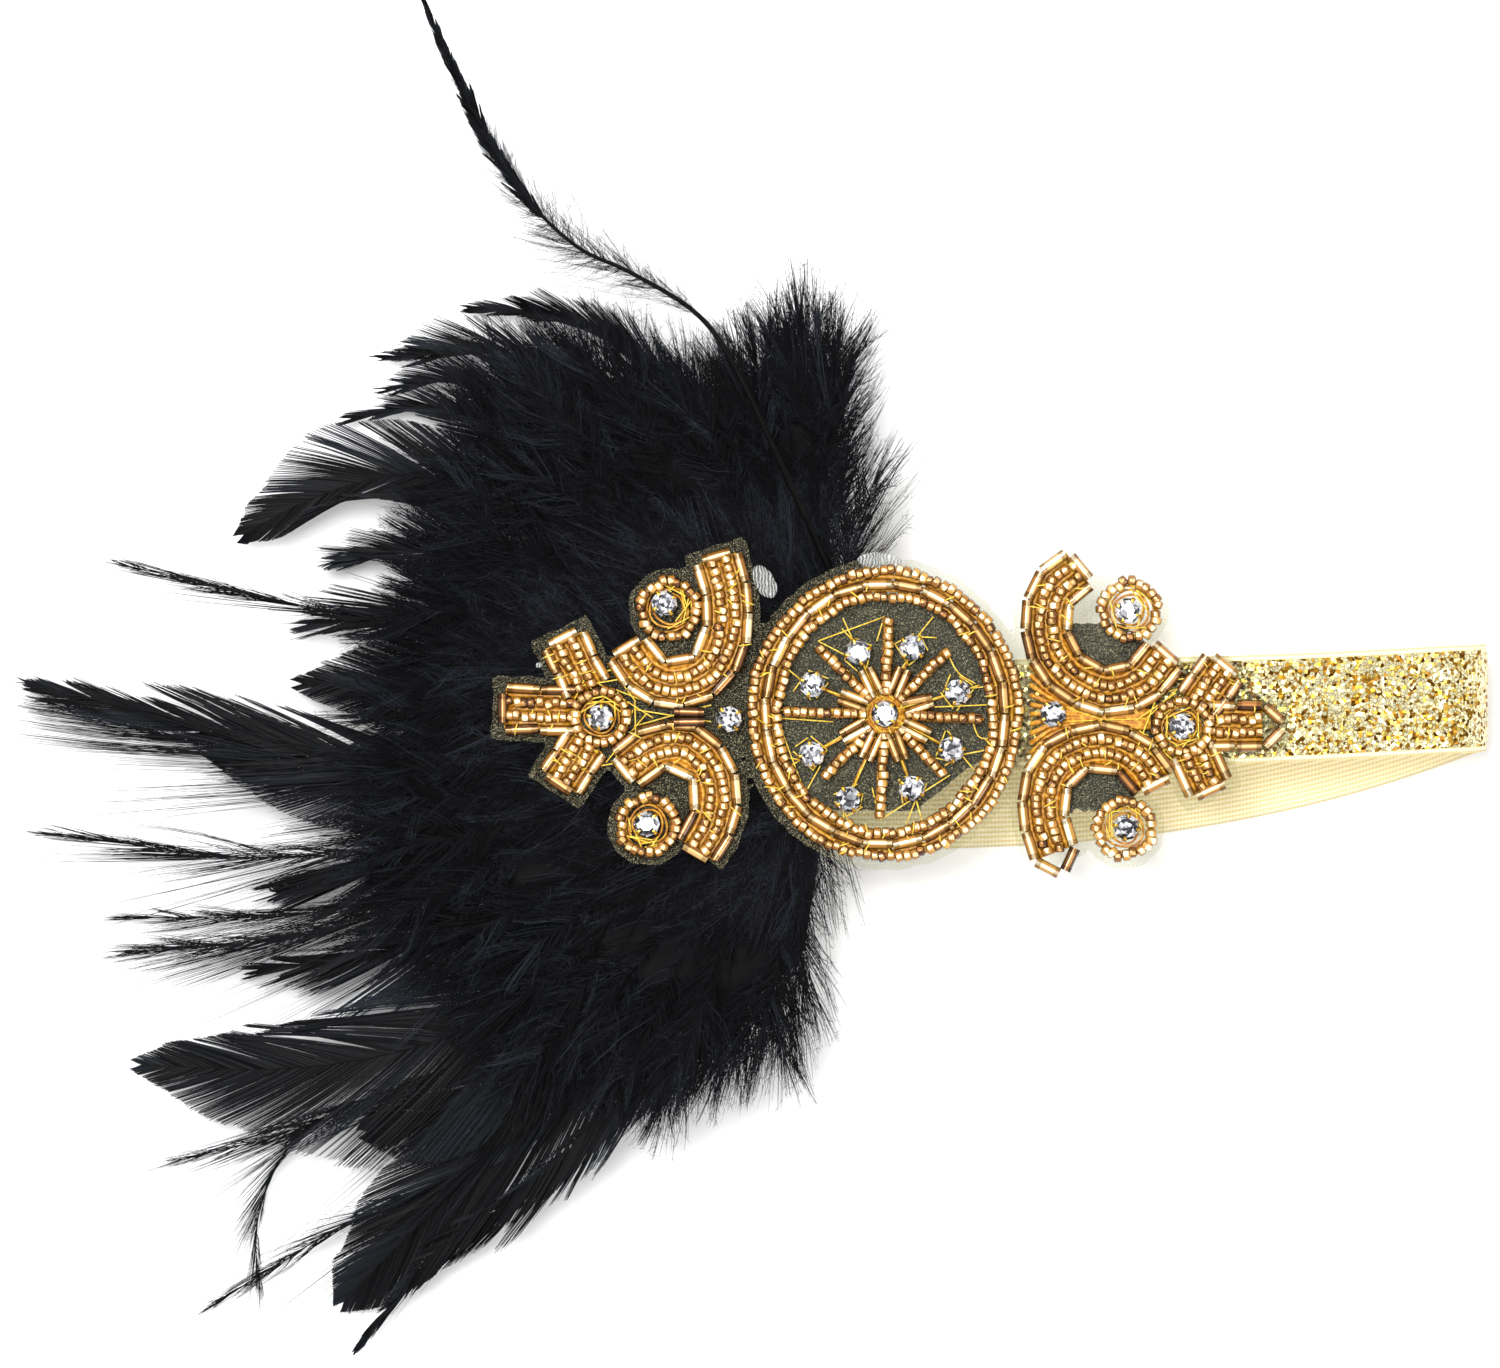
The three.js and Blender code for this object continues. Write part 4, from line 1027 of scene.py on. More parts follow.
def windings(x, y, low, high):  # turns that fill a ring up to its stone, in the core's painted glow
    lines = []
    for radius in np.arange(low, high, 0.95):
        wobble = 1 + 0.05 * np.sin(3 * np.linspace(0, 2 * math.pi, 26) + radius * 5)
        lines.append([x, y] + (oval(radius, radius, 26) * wobble[:, None]))
    return couching("windings", lines, 0.3, core)


def looseThreads(stones):
    lines = [tight((-15.5, 16.9), (-0.2, 22.5)), tight((-0.2, 22.5), (-1.9, 16.9)),
             tight((-15.5, 16.9), (-8, 13)), tight((-24.3, -2.8), (-18.5, -18.3)),
             tight((-18.5, -18.3), (-15, -12)), tight((-1.2, -24.5), (15, -14.1)),
             tight((-1.2, -24.5), (-3, -17)), tight((-26, 1), (-8, 0.6)), tight((-26, -0.8), (-12, -1.8)),
             tight((8, 1.5), (25, 2.2)), tight((-4.5, -3), (0, -8)), tight((0, -8), (5, -3)),
             loose([(14, 15), (17, 9.5), (21, 7)]), loose([(20, -1), (22, -5.5), (25, -5), (25.5, 3)])]
    for angle, orbit in stones:  # straight threads from claw to claw and out to the next bead
        middle = np.array([math.cos(math.radians(angle)), math.sin(math.radians(angle))])
        spot = middle * orbit * medallion["halfWidth"]
        turn = beadRandom.uniform(0, 2 * math.pi)
        for _ in range(4):
            onward = turn + beadRandom.uniform(0.9, 1.9)
            start, end = beadRandom.uniform(2.9, 4.4, 2)
            lines.append(tight(spot + start * np.array([math.cos(turn), math.sin(turn)]),
                               spot + end * np.array([math.cos(onward), math.sin(onward)])))
            turn = onward + beadRandom.uniform(-0.2, 0.5)
        for _ in range(2):
            away = middle * beadRandom.uniform(5.5, 8) + beadRandom.normal(0, 2.4, 2)
            lines.append(tight(spot + middle * 2.8, spot + away))
        lines.append(tight(spot - middle * 2.8, middle * 3.6 + beadRandom.normal(0, 0.8, 2)))
    for angle in range(10, 360, 24):  # and a web of them about the middle
        a, b = np.radians(angle), np.radians(angle + beadRandom.uniform(15, 50))
        near, far = beadRandom.uniform(3.4, 5), beadRandom.uniform(5, 9)
        lines.append(tight((near * math.cos(a), near * math.sin(a)), (far * math.cos(b), far * math.sin(b))))
    return lines


def buildBeadwork():
    a, b = medallion["halfWidth"], medallion["halfHeight"]
    for which in ("outer", "inner"):
        inset, sway = rings[which]
        seeds = seedPlaces(oval(a - inset, b - inset, 400, sway=sway))
        cord = couching("core", [oval(a - inset, b - inset, 120, sway=sway)], sewing["cord"], core)
        piece = beadPiece(f"{which}_ring_beads", seeds, [], [cord])
        standIn(piece, "amber_glass", f"medallion_{which}_seed_ring")
    inset = rings["bugles"]
    count = round(math.pi * (a + b - 2 * inset) / (bugleBead["length"] + bugleBead["gap"]))
    corners = oval(a - inset, b - inset, count + 1)
    bugles = []
    for p, q in zip(corners, corners[1:]):
        trim = (q - p) * 0.03
        bugles.append(buglePlace(p + trim, q - trim))
    cords = couching("core", [oval(a - i, b - i, 90) for i in (2.4, 3.9, 5.4)], sewing["cord"], core)
    piece = beadPiece("bugle_ring_beads", [], bugles,
                      [cords, hopsOver(oval(a - inset, b - inset, 120), 46, [-4.2, -2.4, 0, 1.4])])
    standIn(piece, "amber_glass", "medallion_bugle_ring")
    print("medallion rings strung")

    spokes = [(88, .7), (135, .69), (45, .66), (-3, .72), (-46, .62), (-93, .76), (-134, .65), (179, .74)]
    stones = [(113.5, .49), (67.5, .52), (17, .55), (-28, .54), (-70, .57), (-113.5, .67), (-151.5, .61),
              (158, .57)]

    def ray(angle, distance):
        return np.array([distance * math.cos(math.radians(angle)), distance * math.sin(math.radians(angle))])

    seeds, bugles, lines = [], [], []
    for angle, reach in spokes:
        line = evenly(np.array([ray(angle, 4.4), ray(angle, reach * a)]), 40)
        seeds += seedPlaces(line)
        lines.append(evenly(line, 4))
    for angle, orbit in stones:
        pair = evenly(np.array([ray(angle, 4.6), ray(angle, min(11.4, orbit * a - 3.6))]), 2)
        bugles += [buglePlace(*beside(pair, offset), stout=0.78) for offset in (-1.05, 1.05)]
        lines.append(evenly(np.array([ray(angle, 3.4), ray(angle, orbit * a - 2)]), 4))
    for angle, reach in spokes:  # the stitches lie double beside the seeds
        line = evenly(np.array([ray(angle, 3.4), ray(angle, reach * a - 0.6)]), 4)
        lines += [beside(line, 0.75), beside(line, -0.75)]
    hub = couching("core", lines + [oval(r, r, 24) for r in (3.4, 4.1, 4.8)], 0.42, core)
    web = couching("threads", looseThreads(stones), sewing["stitch"])
    piece = beadPiece("star_beads", seeds, bugles, [hub, web])
    standIn(piece, "amber_glass", "medallion_star")
    print("star strung")

    for name, (_, _, pointed) in scrolls.items():
        line = scrollLine(name)
        seeds = seedPlaces(beside(line, rows["seed"])) + seedPlaces(beside(line, -rows["seed"]))
        bugles = buglesAlong(beside(line, rows["bugle"])) + buglesAlong(beside(line, -rows["bugle"]))
        bugles += endBugles(line, False, pointed) + endBugles(line, True, False)
        if name == "left_lower_scroll":  # two darker bugles on the waist of the fleur
            for y in (0.5, -1.8):
                matrix, _ = buglePlace((-48.8, y), (-41.9, y), 0.0, 0.92)
                bugles.append((Matrix.Translation((0, 0, 0.8 * mm)) @ matrix, 0.0))
        piece = beadPiece(name + "_beads", seeds, bugles, threadBeds(evenly(line, 24), 16))
        standIn(piece, "amber_glass", name)
    for name, (side, out, up) in eyes.items():
        x, y = fleurSpot(side, out, up)
        seeds = seedPlaces(oval(eyeRadius, eyeRadius, 120, x, y, 0.22))
        threads = [couching("core", [oval(eyeRadius, eyeRadius, 30, x, y)], sewing["cord"], core),
                   windings(x, y, 3.5, 5.8),
                   couching("threads", ringThreads(x, y, 5.8, 9), sewing["stitch"])]
        piece = beadPiece(name + "_beads", seeds, [], threads)
        standIn(piece, "amber_glass", name + "_ring")
    for name, (side, (out, up), _) in trefoils.items():
        x, y = fleurSpot(side, out, up)
        seeds = seedPlaces(oval(trefoilRadius, trefoilRadius, 120, x, y))
        bugles = []
        waist = [tight(fleurSpot(side, 0.14, low), fleurSpot(side, out - 0.13, up - low))
                 for low in (-0.03, 0.035)]
        threads = [couching("core", [oval(trefoilRadius, trefoilRadius, 30, x, y)], sewing["cord"], core),
                   windings(x, y, 3.6, 5.4),
                   couching("threads", ringThreads(x, y, 6, 9) + waist, sewing["stitch"])]
        if side > 0:  # threads in the core's painted glow fill the right waist from the ring to the trefoil
            fan = [bentLine([fleurSpot(side, 0.03, 0.19 * s), fleurSpot(side, 0.14, 0.08 * s),
                             fleurSpot(side, out - 0.12, 0.03 * s - 0.02)], 12)
                   for s in np.linspace(-1, 1, 11)]
            threads.append(couching("waist", fan, sewing["cord"], core))
        threads.append(couching("web", ringThreads(x, y, 10.5, 12), sewing["stitch"]))
        for line, pointed in petalLines(name):
            seeds += seedPlaces(beside(line, rows["seed"])) + seedPlaces(beside(line, -rows["seed"]))
            bugles += buglesAlong(beside(line, rows["bugle"])) + buglesAlong(beside(line, -rows["bugle"]))
            bugles += endBugles(line, True, pointed)
            threads += threadBeds(evenly(line, 6), 5)
        piece = beadPiece(name + "_beads", seeds, bugles, threads)
        standIn(piece, "amber_glass", name)
    print("fleurs strung")


buildBeadwork()


stone = {"width": 6.2, "sides": 8, "claw": 0.85, "cup": 2.5, "tilt": 0.05}


def modelStone():
    leaveAlone()
    radius = stone["width"] / 2
    bpy.ops.mesh.primitive_cylinder_add(vertices=stone["sides"], radius=radius * mm, depth=0.5 * mm,
                                        location=(0, 0, 1.9 * mm), end_fill_type="NGON")
    gem = bpy.context.object
    bpy.ops.object.transform_apply(location=True, rotation=False, scale=False)
    pickFaces(gem, lambda face: face.normal.z > 0.9)
    # crown: two rows of facets, each turned half a side against the other, up to the table
    bpy.ops.mesh.extrude_region_move(TRANSFORM_OT_translate={"value": (0, 0, 0.55 * mm)})
    bpy.ops.transform.resize(value=(0.8, 0.8, 1))
    bpy.ops.mesh.extrude_region_move(TRANSFORM_OT_translate={"value": (0, 0, 0.4 * mm)})
    bpy.ops.transform.resize(value=(0.66, 0.66, 1))
    bpy.ops.transform.rotate(value=math.pi / stone["sides"], orient_axis="Z",
                             center_override=(0, 0, 0))
    # pavilion down to its point
    pickFaces(gem, lambda face: face.normal.z < -0.9)
    bpy.ops.mesh.extrude_region_move(TRANSFORM_OT_translate={"value": (0, 0, -1.5 * mm)})
    bpy.ops.transform.resize(value=(0.12, 0.12, 1))
    bpy.ops.mesh.select_all(action="SELECT")
    bpy.ops.mesh.quads_convert_to_tris()
    bpy.ops.object.mode_set(mode="OBJECT")
    gem.data.materials.append(crystal)
    bpy.ops.object.shade_flat()
    gem.data.attributes.new("tone", "FLOAT", "FACE")
    return gem


def modelClaws():
    leaveAlone()
    bpy.ops.mesh.primitive_cylinder_add(vertices=16, radius=stone["cup"] * mm, depth=1.3 * mm,
                                        location=(0, 0, 0.95 * mm), end_fill_type="NGON")
    cup = bpy.context.object
    bpy.ops.object.transform_apply(location=True, rotation=False, scale=False)
    pickFaces(cup, lambda face: face.normal.z > 0.9)
    bpy.ops.mesh.inset(thickness=0.35 * mm)
    bpy.ops.mesh.extrude_region_move(TRANSFORM_OT_translate={"value": (0, 0, -0.9 * mm)})
    bpy.ops.object.mode_set(mode="OBJECT")
    parts = [cup]
    for k in range(4):
        turn = math.pi / 4 + k * math.pi / 2
        leaveAlone()
        bpy.ops.mesh.primitive_cube_add(size=mm, location=(0, 0, 0))
        claw = bpy.context.object
        bpy.ops.object.mode_set(mode="EDIT")
        bpy.ops.mesh.select_all(action="SELECT")
        bpy.ops.transform.resize(value=(0.4, stone["claw"], 2.0))
        bpy.ops.transform.translate(value=(3.1 * mm, 0, 1.55 * mm))
        # the tip folds in over the stone's edge
        pickFaces(claw, lambda face: face.normal.z > 0.9)
        bpy.ops.mesh.extrude_region_move(TRANSFORM_OT_translate={"value": (-0.5 * mm, 0, 0.28 * mm)})
        bpy.ops.transform.resize(value=(1, 0.8, 1))
        bpy.ops.mesh.extrude_region_move(TRANSFORM_OT_translate={"value": (-0.45 * mm, 0, 0.02 * mm)})
        bpy.ops.transform.resize(value=(0.6, 0.6, 1))
        bpy.ops.mesh.select_all(action="SELECT")
        bpy.ops.mesh.bevel(offset=0.08 * mm, segments=1, affect="EDGES")
        bpy.ops.object.mode_set(mode="OBJECT")
        claw.data.transform(Matrix.Rotation(turn, 4, "Z"))
        parts.append(claw)
    cup = joinAll("claw_cup", parts)
    cup.data.materials.append(brass)
    bpy.ops.object.shade_smooth_by_angle(angle=math.radians(35))
    return cup


def setStones():
    gem, claws = modelStone(), modelClaws()
    names = ["centre_stone"] + [f"medallion_stone_{i}" for i in range(1, 9)]
    names += [name + "_stone" for name in eyes] + [name + "_stone" for name in trefoils]
    names += ["left_waist_stone", "right_waist_stone"]
    turns = np.random.default_rng(5)
    # Blender may number the facets anew each time, so their tones are dealt out by where they lie
    facets = sorted(gem.data.polygons, key=lambda face: [round(c, 6) for c in face.center])
    order = [face.index for face in facets]
    for name in names:
        low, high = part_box(name)
        spot = Vector(((low.x + high.x) / 2, (low.y + high.y) / 2, low.z))
        tilt = turns.normal(0, stone["tilt"], 2)
        turn = (Matrix.Translation(spot) @ Matrix.Rotation(tilt[0], 4, "X") @ Matrix.Rotation(tilt[1], 4, "Y")
                @ Matrix.Rotation(turns.uniform(0, math.pi), 4, "Z"))
        parts = []
        for model in (gem, claws):
            copy = model.copy()
            copy.data = model.data.copy()
            copy.data.transform(turn)
            if model is gem:
                # each facet's random tone is its painted reflection, dark or white
                tones = np.zeros(len(order))
                tones[order] = turns.uniform(0, 1, len(order))
                copy.data.attributes["tone"].data.foreach_set("value", tones)
            bpy.context.scene.collection.objects.link(copy)
            parts.append(copy)
        piece = joinAll(name + "_cut", parts)
        standIn(piece, "crystal", name)
    for model in (gem, claws):
        bpy.data.objects.remove(model)


setStones()
for model in (seedModel, bugleModel):
    bpy.data.objects.remove(model)
print("stones set")


root = {"x": -10, "y": 0, "radius": 13, "under": 24.9, "droop": 1.75, "clear": 0.25}


def vaneHeight(distance, reach, tip):
    share = np.clip((distance - root["radius"]) / max(reach - root["radius"], 1), 0, 1)
    return root["under"] + (tip - root["under"]) * share ** root["droop"]


def strands(name, lines, widths, tones, material, random, turn=0.5):
    # a flat ribbon along every line; lines is (how many, points in each, 3) in millimetres
    count, steps, _ = lines.shape
    along = np.gradient(lines, axis=1)
    along /= np.maximum(np.linalg.norm(along, axis=2, keepdims=True), 1e-9)
    up = random.normal(0, turn, (count, 1, 3))
    up[:, :, 2] = 1
    side = np.cross(along, up)
    side /= np.maximum(np.linalg.norm(side, axis=2, keepdims=True), 1e-9)
    points = np.stack([lines + side * widths[..., None] / 2, lines - side * widths[..., None] / 2], axis=2)
    points = points.reshape(-1, 3)
    first = (np.arange(count)[:, None] * steps + np.arange(steps - 1)[None]).ravel() * 2
    faces = np.column_stack([first, first + 2, first + 3, first + 1])
    piece = meshPiece(name, inRow(points), faces, [material])
    share = np.linspace(0, 1, steps)[None, :, None]
    # tone rises towards each barb's tip: painted sheen on the thin ends
    tone = np.clip(tones[:, None, None] * (0.6 + 0.4 * share), 0, 1)
    markPoints(piece, "tone", np.broadcast_to(tone, (count, steps, 2)))
    return piece


def barbsOf(quill, look, random):
    # barbs leave both sides of the quill in groups that keep together
    steps = look["points"]
    length = lengthOf(quill)
    flat = quill[:, :2]
    along = np.gradient(flat, axis=0)
    along /= np.maximum(np.linalg.norm(along, axis=1, keepdims=True), 1e-9)
    shares = np.linspace(0, 1, len(quill))
    allLines, allWidths, allTones = [], [], []
    for side in (-1, 1):
        count = int(length * (1 - look["bare"]) / look["spacing"])
        s = look["bare"] + (1 - look["bare"]) * (np.arange(count) + random.uniform(0, 1, count)) / count
        group = np.cumsum(random.uniform(0, 1, count) < 1 / look["clump"])
        groups = group[-1] + 1
        swing = random.normal(0, 1, (groups, 5))[group]
        base = np.column_stack([np.interp(s, shares, quill[:, k]) for k in range(3)])
        t0 = np.column_stack([np.interp(s, shares, along[:, k]) for k in range(2)])
        n0 = np.column_stack([-t0[:, 1], t0[:, 0]]) * side
        angle = np.radians(np.interp(s, [0, 1], look["angles"]) + look["spread"] * swing[:, 0]
                           + 0.25 * look["spread"] * random.normal(0, 1, count))
        lean = angle * (1 - look["curl"] / 2)
        total = length + look["past"]
        forward = np.maximum(np.cos(lean), 0.3)
        low, high = np.zeros(count), (total - length * s) / forward
        for _ in range(14):  # the farthest place along each barb that is still inside the outline
            middle = (low + high) / 2
            share = (length * s + middle * forward) / total
            inside = middle * np.sin(lean) < look["width"] / 2 * np.interp(share, *zip(*look["profile"]))
            low, high = np.where(inside, middle, low), np.where(inside, high, middle)
        reach = low
        reach *= 1 + look["ragged"] * swing[:, 1] + 0.4 * look["ragged"] * random.normal(0, 1, count)
        reach = np.clip(reach, 0.5, (total - length * s) / forward)
        t = np.linspace(0, 1, steps)
        line = np.zeros((count, steps, 3))
        line[:, 0] = base
        for j in range(1, steps):
            bend = angle * (1 - look["curl"] * t[j])
            step = (np.cos(bend)[:, None] * t0 + np.sin(bend)[:, None] * n0) * (reach / (steps - 1))[:, None]
            line[:, j, :2] = line[:, j - 1, :2] + step
            line[:, j, 2] = base[:, 2]
        wave = look["wave"] * np.sin(2 * math.pi * (1.1 * t[None] + swing[:, 2:3])) * t[None]
        wave = wave + 0.35 * look["wave"] * random.normal(0, 1, (count, steps)) * t[None]
        line[..., :2] += wave[..., None] * t0[:, None, :]
        line[..., 2] += look["rise"] * swing[:, 3:4] * t[None] ** 1.3 + look["lift"] * t[None]
        if look["gather"] > 0:
            sums = np.zeros((groups, steps, 3))
            np.add.at(sums, group, line)
            mean = sums / np.maximum(np.bincount(group, minlength=groups), 1)[:, None, None]
            pull = (look["gather"] * t ** 2)[None, :, None]
            line = line * (1 - pull) + mean[group] * pull
        width = (look["thread"] * (1 - look["taper"] * t ** 1.5)[None]
                 * (0.75 + 0.5 * random.uniform(0, 1, (count, 1))))
        allLines.append(line)
        allWidths.append(width)
        allTones.append(np.clip(0.5 + 0.28 * swing[:, 4] + 0.12 * random.normal(0, 1, count), 0, 1))
    return np.concatenate(allLines), np.concatenate(allWidths), np.concatenate(allTones)


# half widths of a vane along its quill, in shares of the full one
bladeProfile = [(0, 0.1), (0.2, 0.35), (0.45, 0.85), (0.6, 1), (0.73, 0.95), (0.86, 0.56), (0.94, 0.28),
                (1, 0)]
leafProfile = [(0, 0.1), (0.3, 0.45), (0.6, 0.9), (0.75, 1), (0.87, 0.85), (0.95, 0.5), (1, 0)]
wispProfile = [(0, 0.5), (0.5, 1), (0.8, 0.7), (1, 0.1)]
vaneLooks = {
    "zipped": {"points": 5, "bare": 0.08, "spacing": 0.3, "angles": (36, 22), "curl": 0.3, "spread": 1.6,
               "clump": 40, "ragged": 0.03, "wave": 0.12, "rise": 0.3, "lift": -0.4, "gather": 0.05,
               "thread": 0.29, "taper": 0.55, "past": 5, "quill": 0.45, "profile": bladeProfile},
    "leaf": {"points": 5, "bare": 0.08, "spacing": 0.26, "angles": (34, 24), "curl": 0.35, "spread": 1.4,
             "clump": 50, "ragged": 0.02, "wave": 0.1, "rise": 0.3, "lift": -0.4, "gather": 0.04,
             "thread": 0.32, "taper": 0.55, "past": 4, "quill": 0.45, "profile": leafProfile},
    "ragged": {"points": 5, "bare": 0.08, "spacing": 0.32, "angles": (30, 12), "curl": 0.3, "spread": 3.4,
               "clump": 16, "ragged": 0.16, "wave": 0.5, "rise": 0.8, "lift": -0.4, "gather": 0.25,
               "thread": 0.3, "taper": 0.7, "past": 6, "quill": 0.45, "profile": bladeProfile},
    "wispy": {"points": 5, "bare": 0.2, "spacing": 0.55, "angles": (20, 9), "curl": 0.5, "spread": 6,
              "clump": 4, "ragged": 0.4, "wave": 1.8, "rise": 1.2, "lift": -0.3, "gather": 0.12,
              "thread": 0.15, "taper": 0.8, "past": 4, "quill": 0.22, "profile": wispProfile},
}
vaneFeathers = {
    # route in mm from the medallion's middle, full width, height of the tip, and how its barbs keep together
    "blade_left": ([(-19.7, -3.7), (-93.8, -13), (-149.3, -4.9), (-201, 7.2)], 17, 0.8, "ragged"),
    "wisp_left": ([(-22, -5), (-93.8, -15), (-150, -9), (-198, 3)], 22, 1.5, "wispy"),
    "blade_left_second": ([(-22, -6), (-90, -14), (-130, -16), (-158, -9)], 24, 3, "zipped"),
    "blade_upper": ([(-28.9, 17.1), (-75.2, 44.9), (-112.3, 55.5), (-135.4, 49.5), (-149.5, 42)], 21, 9,
                    "leaf"),
    "blade_lower": ([(-24.3, -24), (-75.2, -63), (-110, -78), (-140, -83), (-174, -82.4)], 45, 3, "zipped"),
    "blade_lower_second": ([(-24.3, -31.5), (-70, -76), (-98, -92), (-121, -98)], 26, 2, "leaf"),
    "blade_foot": ([(-28.9, -43.1), (-61.3, -77.8), (-89.1, -101), (-110.3, -121), (-126.5, -138)], 31, 0.8,
                   "leaf"),
    "blade_foot_second": ([(-24.3, -50), (-54.4, -84.7), (-75.2, -105.6), (-108.6, -131),
                           (-123.6, -149)], 10, 4, "ragged"),
    "blade_brow": ([(-28.9, 35.7), (-66, 72.7), (-89.1, 84.4), (-117, 83.3)], 14, 6, "ragged"),
    "blade_brow_second": ([(-33.6, 54.2), (-61.3, 86.6), (-79.9, 93.5), (-97, 94.9)], 9, 6, "ragged"),
    "blade_cheek": ([(-33.6, 31), (-75.2, 58.8), (-105.3, 71.7), (-124, 69.2)], 14, 5, "ragged"),
    "blade_temple": ([(-33.6, 31), (-75, 66), (-98, 78), (-116, 76)], 13, 6, "ragged"),
    "fill_upper": ([(-28, 12), (-80, 30), (-108, 38), (-128, 36)], 24, 7, "ragged"),
    "fill_crown": ([(-26, 8), (-74, 20), (-106, 24), (-134, 21)], 26, 6, "ragged"),
    "fill_side": ([(-26, 3), (-72, 6), (-106, 7), (-136, 7)], 30, 5.5, "zipped"),
    "fill_middle": ([(-28, -8), (-84, -24), (-118, -36), (-142, -42)], 28, 5, "ragged"),
    "fill_lower": ([(-28, -14), (-84, -44), (-116, -56), (-146, -60)], 26, 4, "ragged"),
    "wisp_upper": ([(-28, 10), (-80, 18), (-118.5, 21.8), (-145, 27), (-179, 35.2)], 7, 6, "wispy"),
    "wisp_middle": ([(-28, -8), (-90, -24), (-138.4, -33.6), (-197, -28)], 12, 3, "wispy"),
    "wisp_lower": ([(-28, -12), (-90, -38), (-134, -51.4), (-178, -56)], 15, 0.8, "wispy"),
    "wisp_lower_second": ([(-28, -12), (-90, -34), (-130, -46), (-179, -48)], 10, 2, "wispy"),
    "wisp_foot": ([(-30, -28), (-70, -78), (-96.1, -105.6), (-125.2, -119), (-159, -140)], 9, 1, "wispy"),
    "wisp_side": ([(-30, -28), (-80, -76), (-128, -94), (-150, -101), (-166, -105)], 9, 2, "wispy"),
    "wisp_curl": ([(-30, -28), (-90, -78), (-130, -94), (-141, -104), (-147, -120), (-146.5, -135)], 7, 1,
                  "wispy"),
}


def quillLine(route, tip, count=160):
    flat = bentLine([(root["x"], root["y"])] + list(route), count)
    away = np.hypot(flat[:, 0] - root["x"], flat[:, 1] - root["y"])
    return np.column_stack([flat, vaneHeight(away, away[-1], tip)])


def buildVanes():
    random = np.random.default_rng(21)
    lines, widths, tones, quills, thick = [], [], [], [], []
    for route, width, tip, kind in vaneFeathers.values():
        quill = quillLine(route, tip)
        one = barbsOf(quill, dict(vaneLooks[kind], width=width), random)
        for kept, part in zip((lines, widths, tones), one):
            kept.append(part)
        quills.append(evenly(quill, 40))
        thick.append(vaneLooks[kind]["quill"])
    lines, widths, tones = np.concatenate(lines), np.concatenate(widths), np.concatenate(tones)
    lines[..., 2] = np.maximum(lines[..., 2], root["clear"])
    piece = strands("vane_barbs", lines, widths, tones, vaneBarb, random, 0.25)
    standIn(piece, "black_feather", "vane_feathers")
    points, faces = tubes(quills, thick, 6, 0.15)
    stems = meshPiece("vane_quills", inRow(points), faces, [quillHorn])
    standIn(stems, "black_feather", "vane_feathers")
    print("vanes:", len(lines), "barbs")


buildVanes()

fluff = {
    # how far the down reaches at each angle about the root, in shares of reach
    "outline": [(80, .4), (87, .56), (90, .68), (93, .83), (105, .85), (112, .76), (125, .98), (136, 1.07),
                (150, .98), (172, .97), (188, 1.0), (200, 1.06), (231, 1.02), (246, .9), (258, .72),
                (266, .54), (274, .34)],
    "reach": 115, "floor": 27.2, "rise": 8, "underReach": 190, "underTip": 8,
    "rim": 110, "rimAngles": (88, 258.5), "tufts": 330, "tuftAngles": (88.5, 258), "tuft": 25,
}
downLook = {"points": 5, "bare": 0.05, "spacing": 0.5, "angles": (48, 18), "curl": 0.35, "spread": 16,
            "clump": 4, "ragged": 0.3, "wave": 1.1, "rise": 1.6, "lift": 0.4, "gather": 0.28,
            "thread": 0.2, "taper": 0.78, "past": 12, "width": 16,
            "profile": [(0, .3), (.2, .8), (.5, 1), (.8, .85), (.95, .55), (1, .3)]}
barbule = {"count": 150000, "shortest": 0.8, "longest": 2.4, "thickness": 0.1}
matted = {"angles": (94, 261), "rows": 56, "steps": 16, "reach": 0.74, "start": 0.06}


def fluffReach(angle):
    return fluff["reach"] * np.interp(angle, *zip(*fluff["outline"]))


def downBand(x, y):  # lowest and highest place of the down over the table
    away = np.hypot(x - root["x"], y - root["y"])
    low = vaneHeight(away, fluff["underReach"], fluff["underTip"]) + 1.5
    wide = medallion["halfWidth"] + 1.2 * medallion["fleur"]
    cover = np.hypot(x / wide, y / (1.6 * medallion["halfHeight"]))
    high = fluff["floor"] - 0.6 + (fluff["rise"] + 1) * smoothStep(cover, 0.9, 1.35)
    return np.minimum(low, high - 1), high


def tuftQuill(angle, start, length, level, swerve):
    steps = 14
    heading = np.radians(angle + swerve * (0.4 + 0.6 * np.linspace(0, 1, steps)))
    step = length / (steps - 1)
    x = root["x"] + start * math.cos(math.radians(angle)) + np.cumsum(np.cos(heading)) * step
    y = root["y"] + start * math.sin(math.radians(angle)) + np.cumsum(np.sin(heading)) * step
    low, high = downBand(x, y)
    return np.column_stack([x, y, low + (high - low) * level])


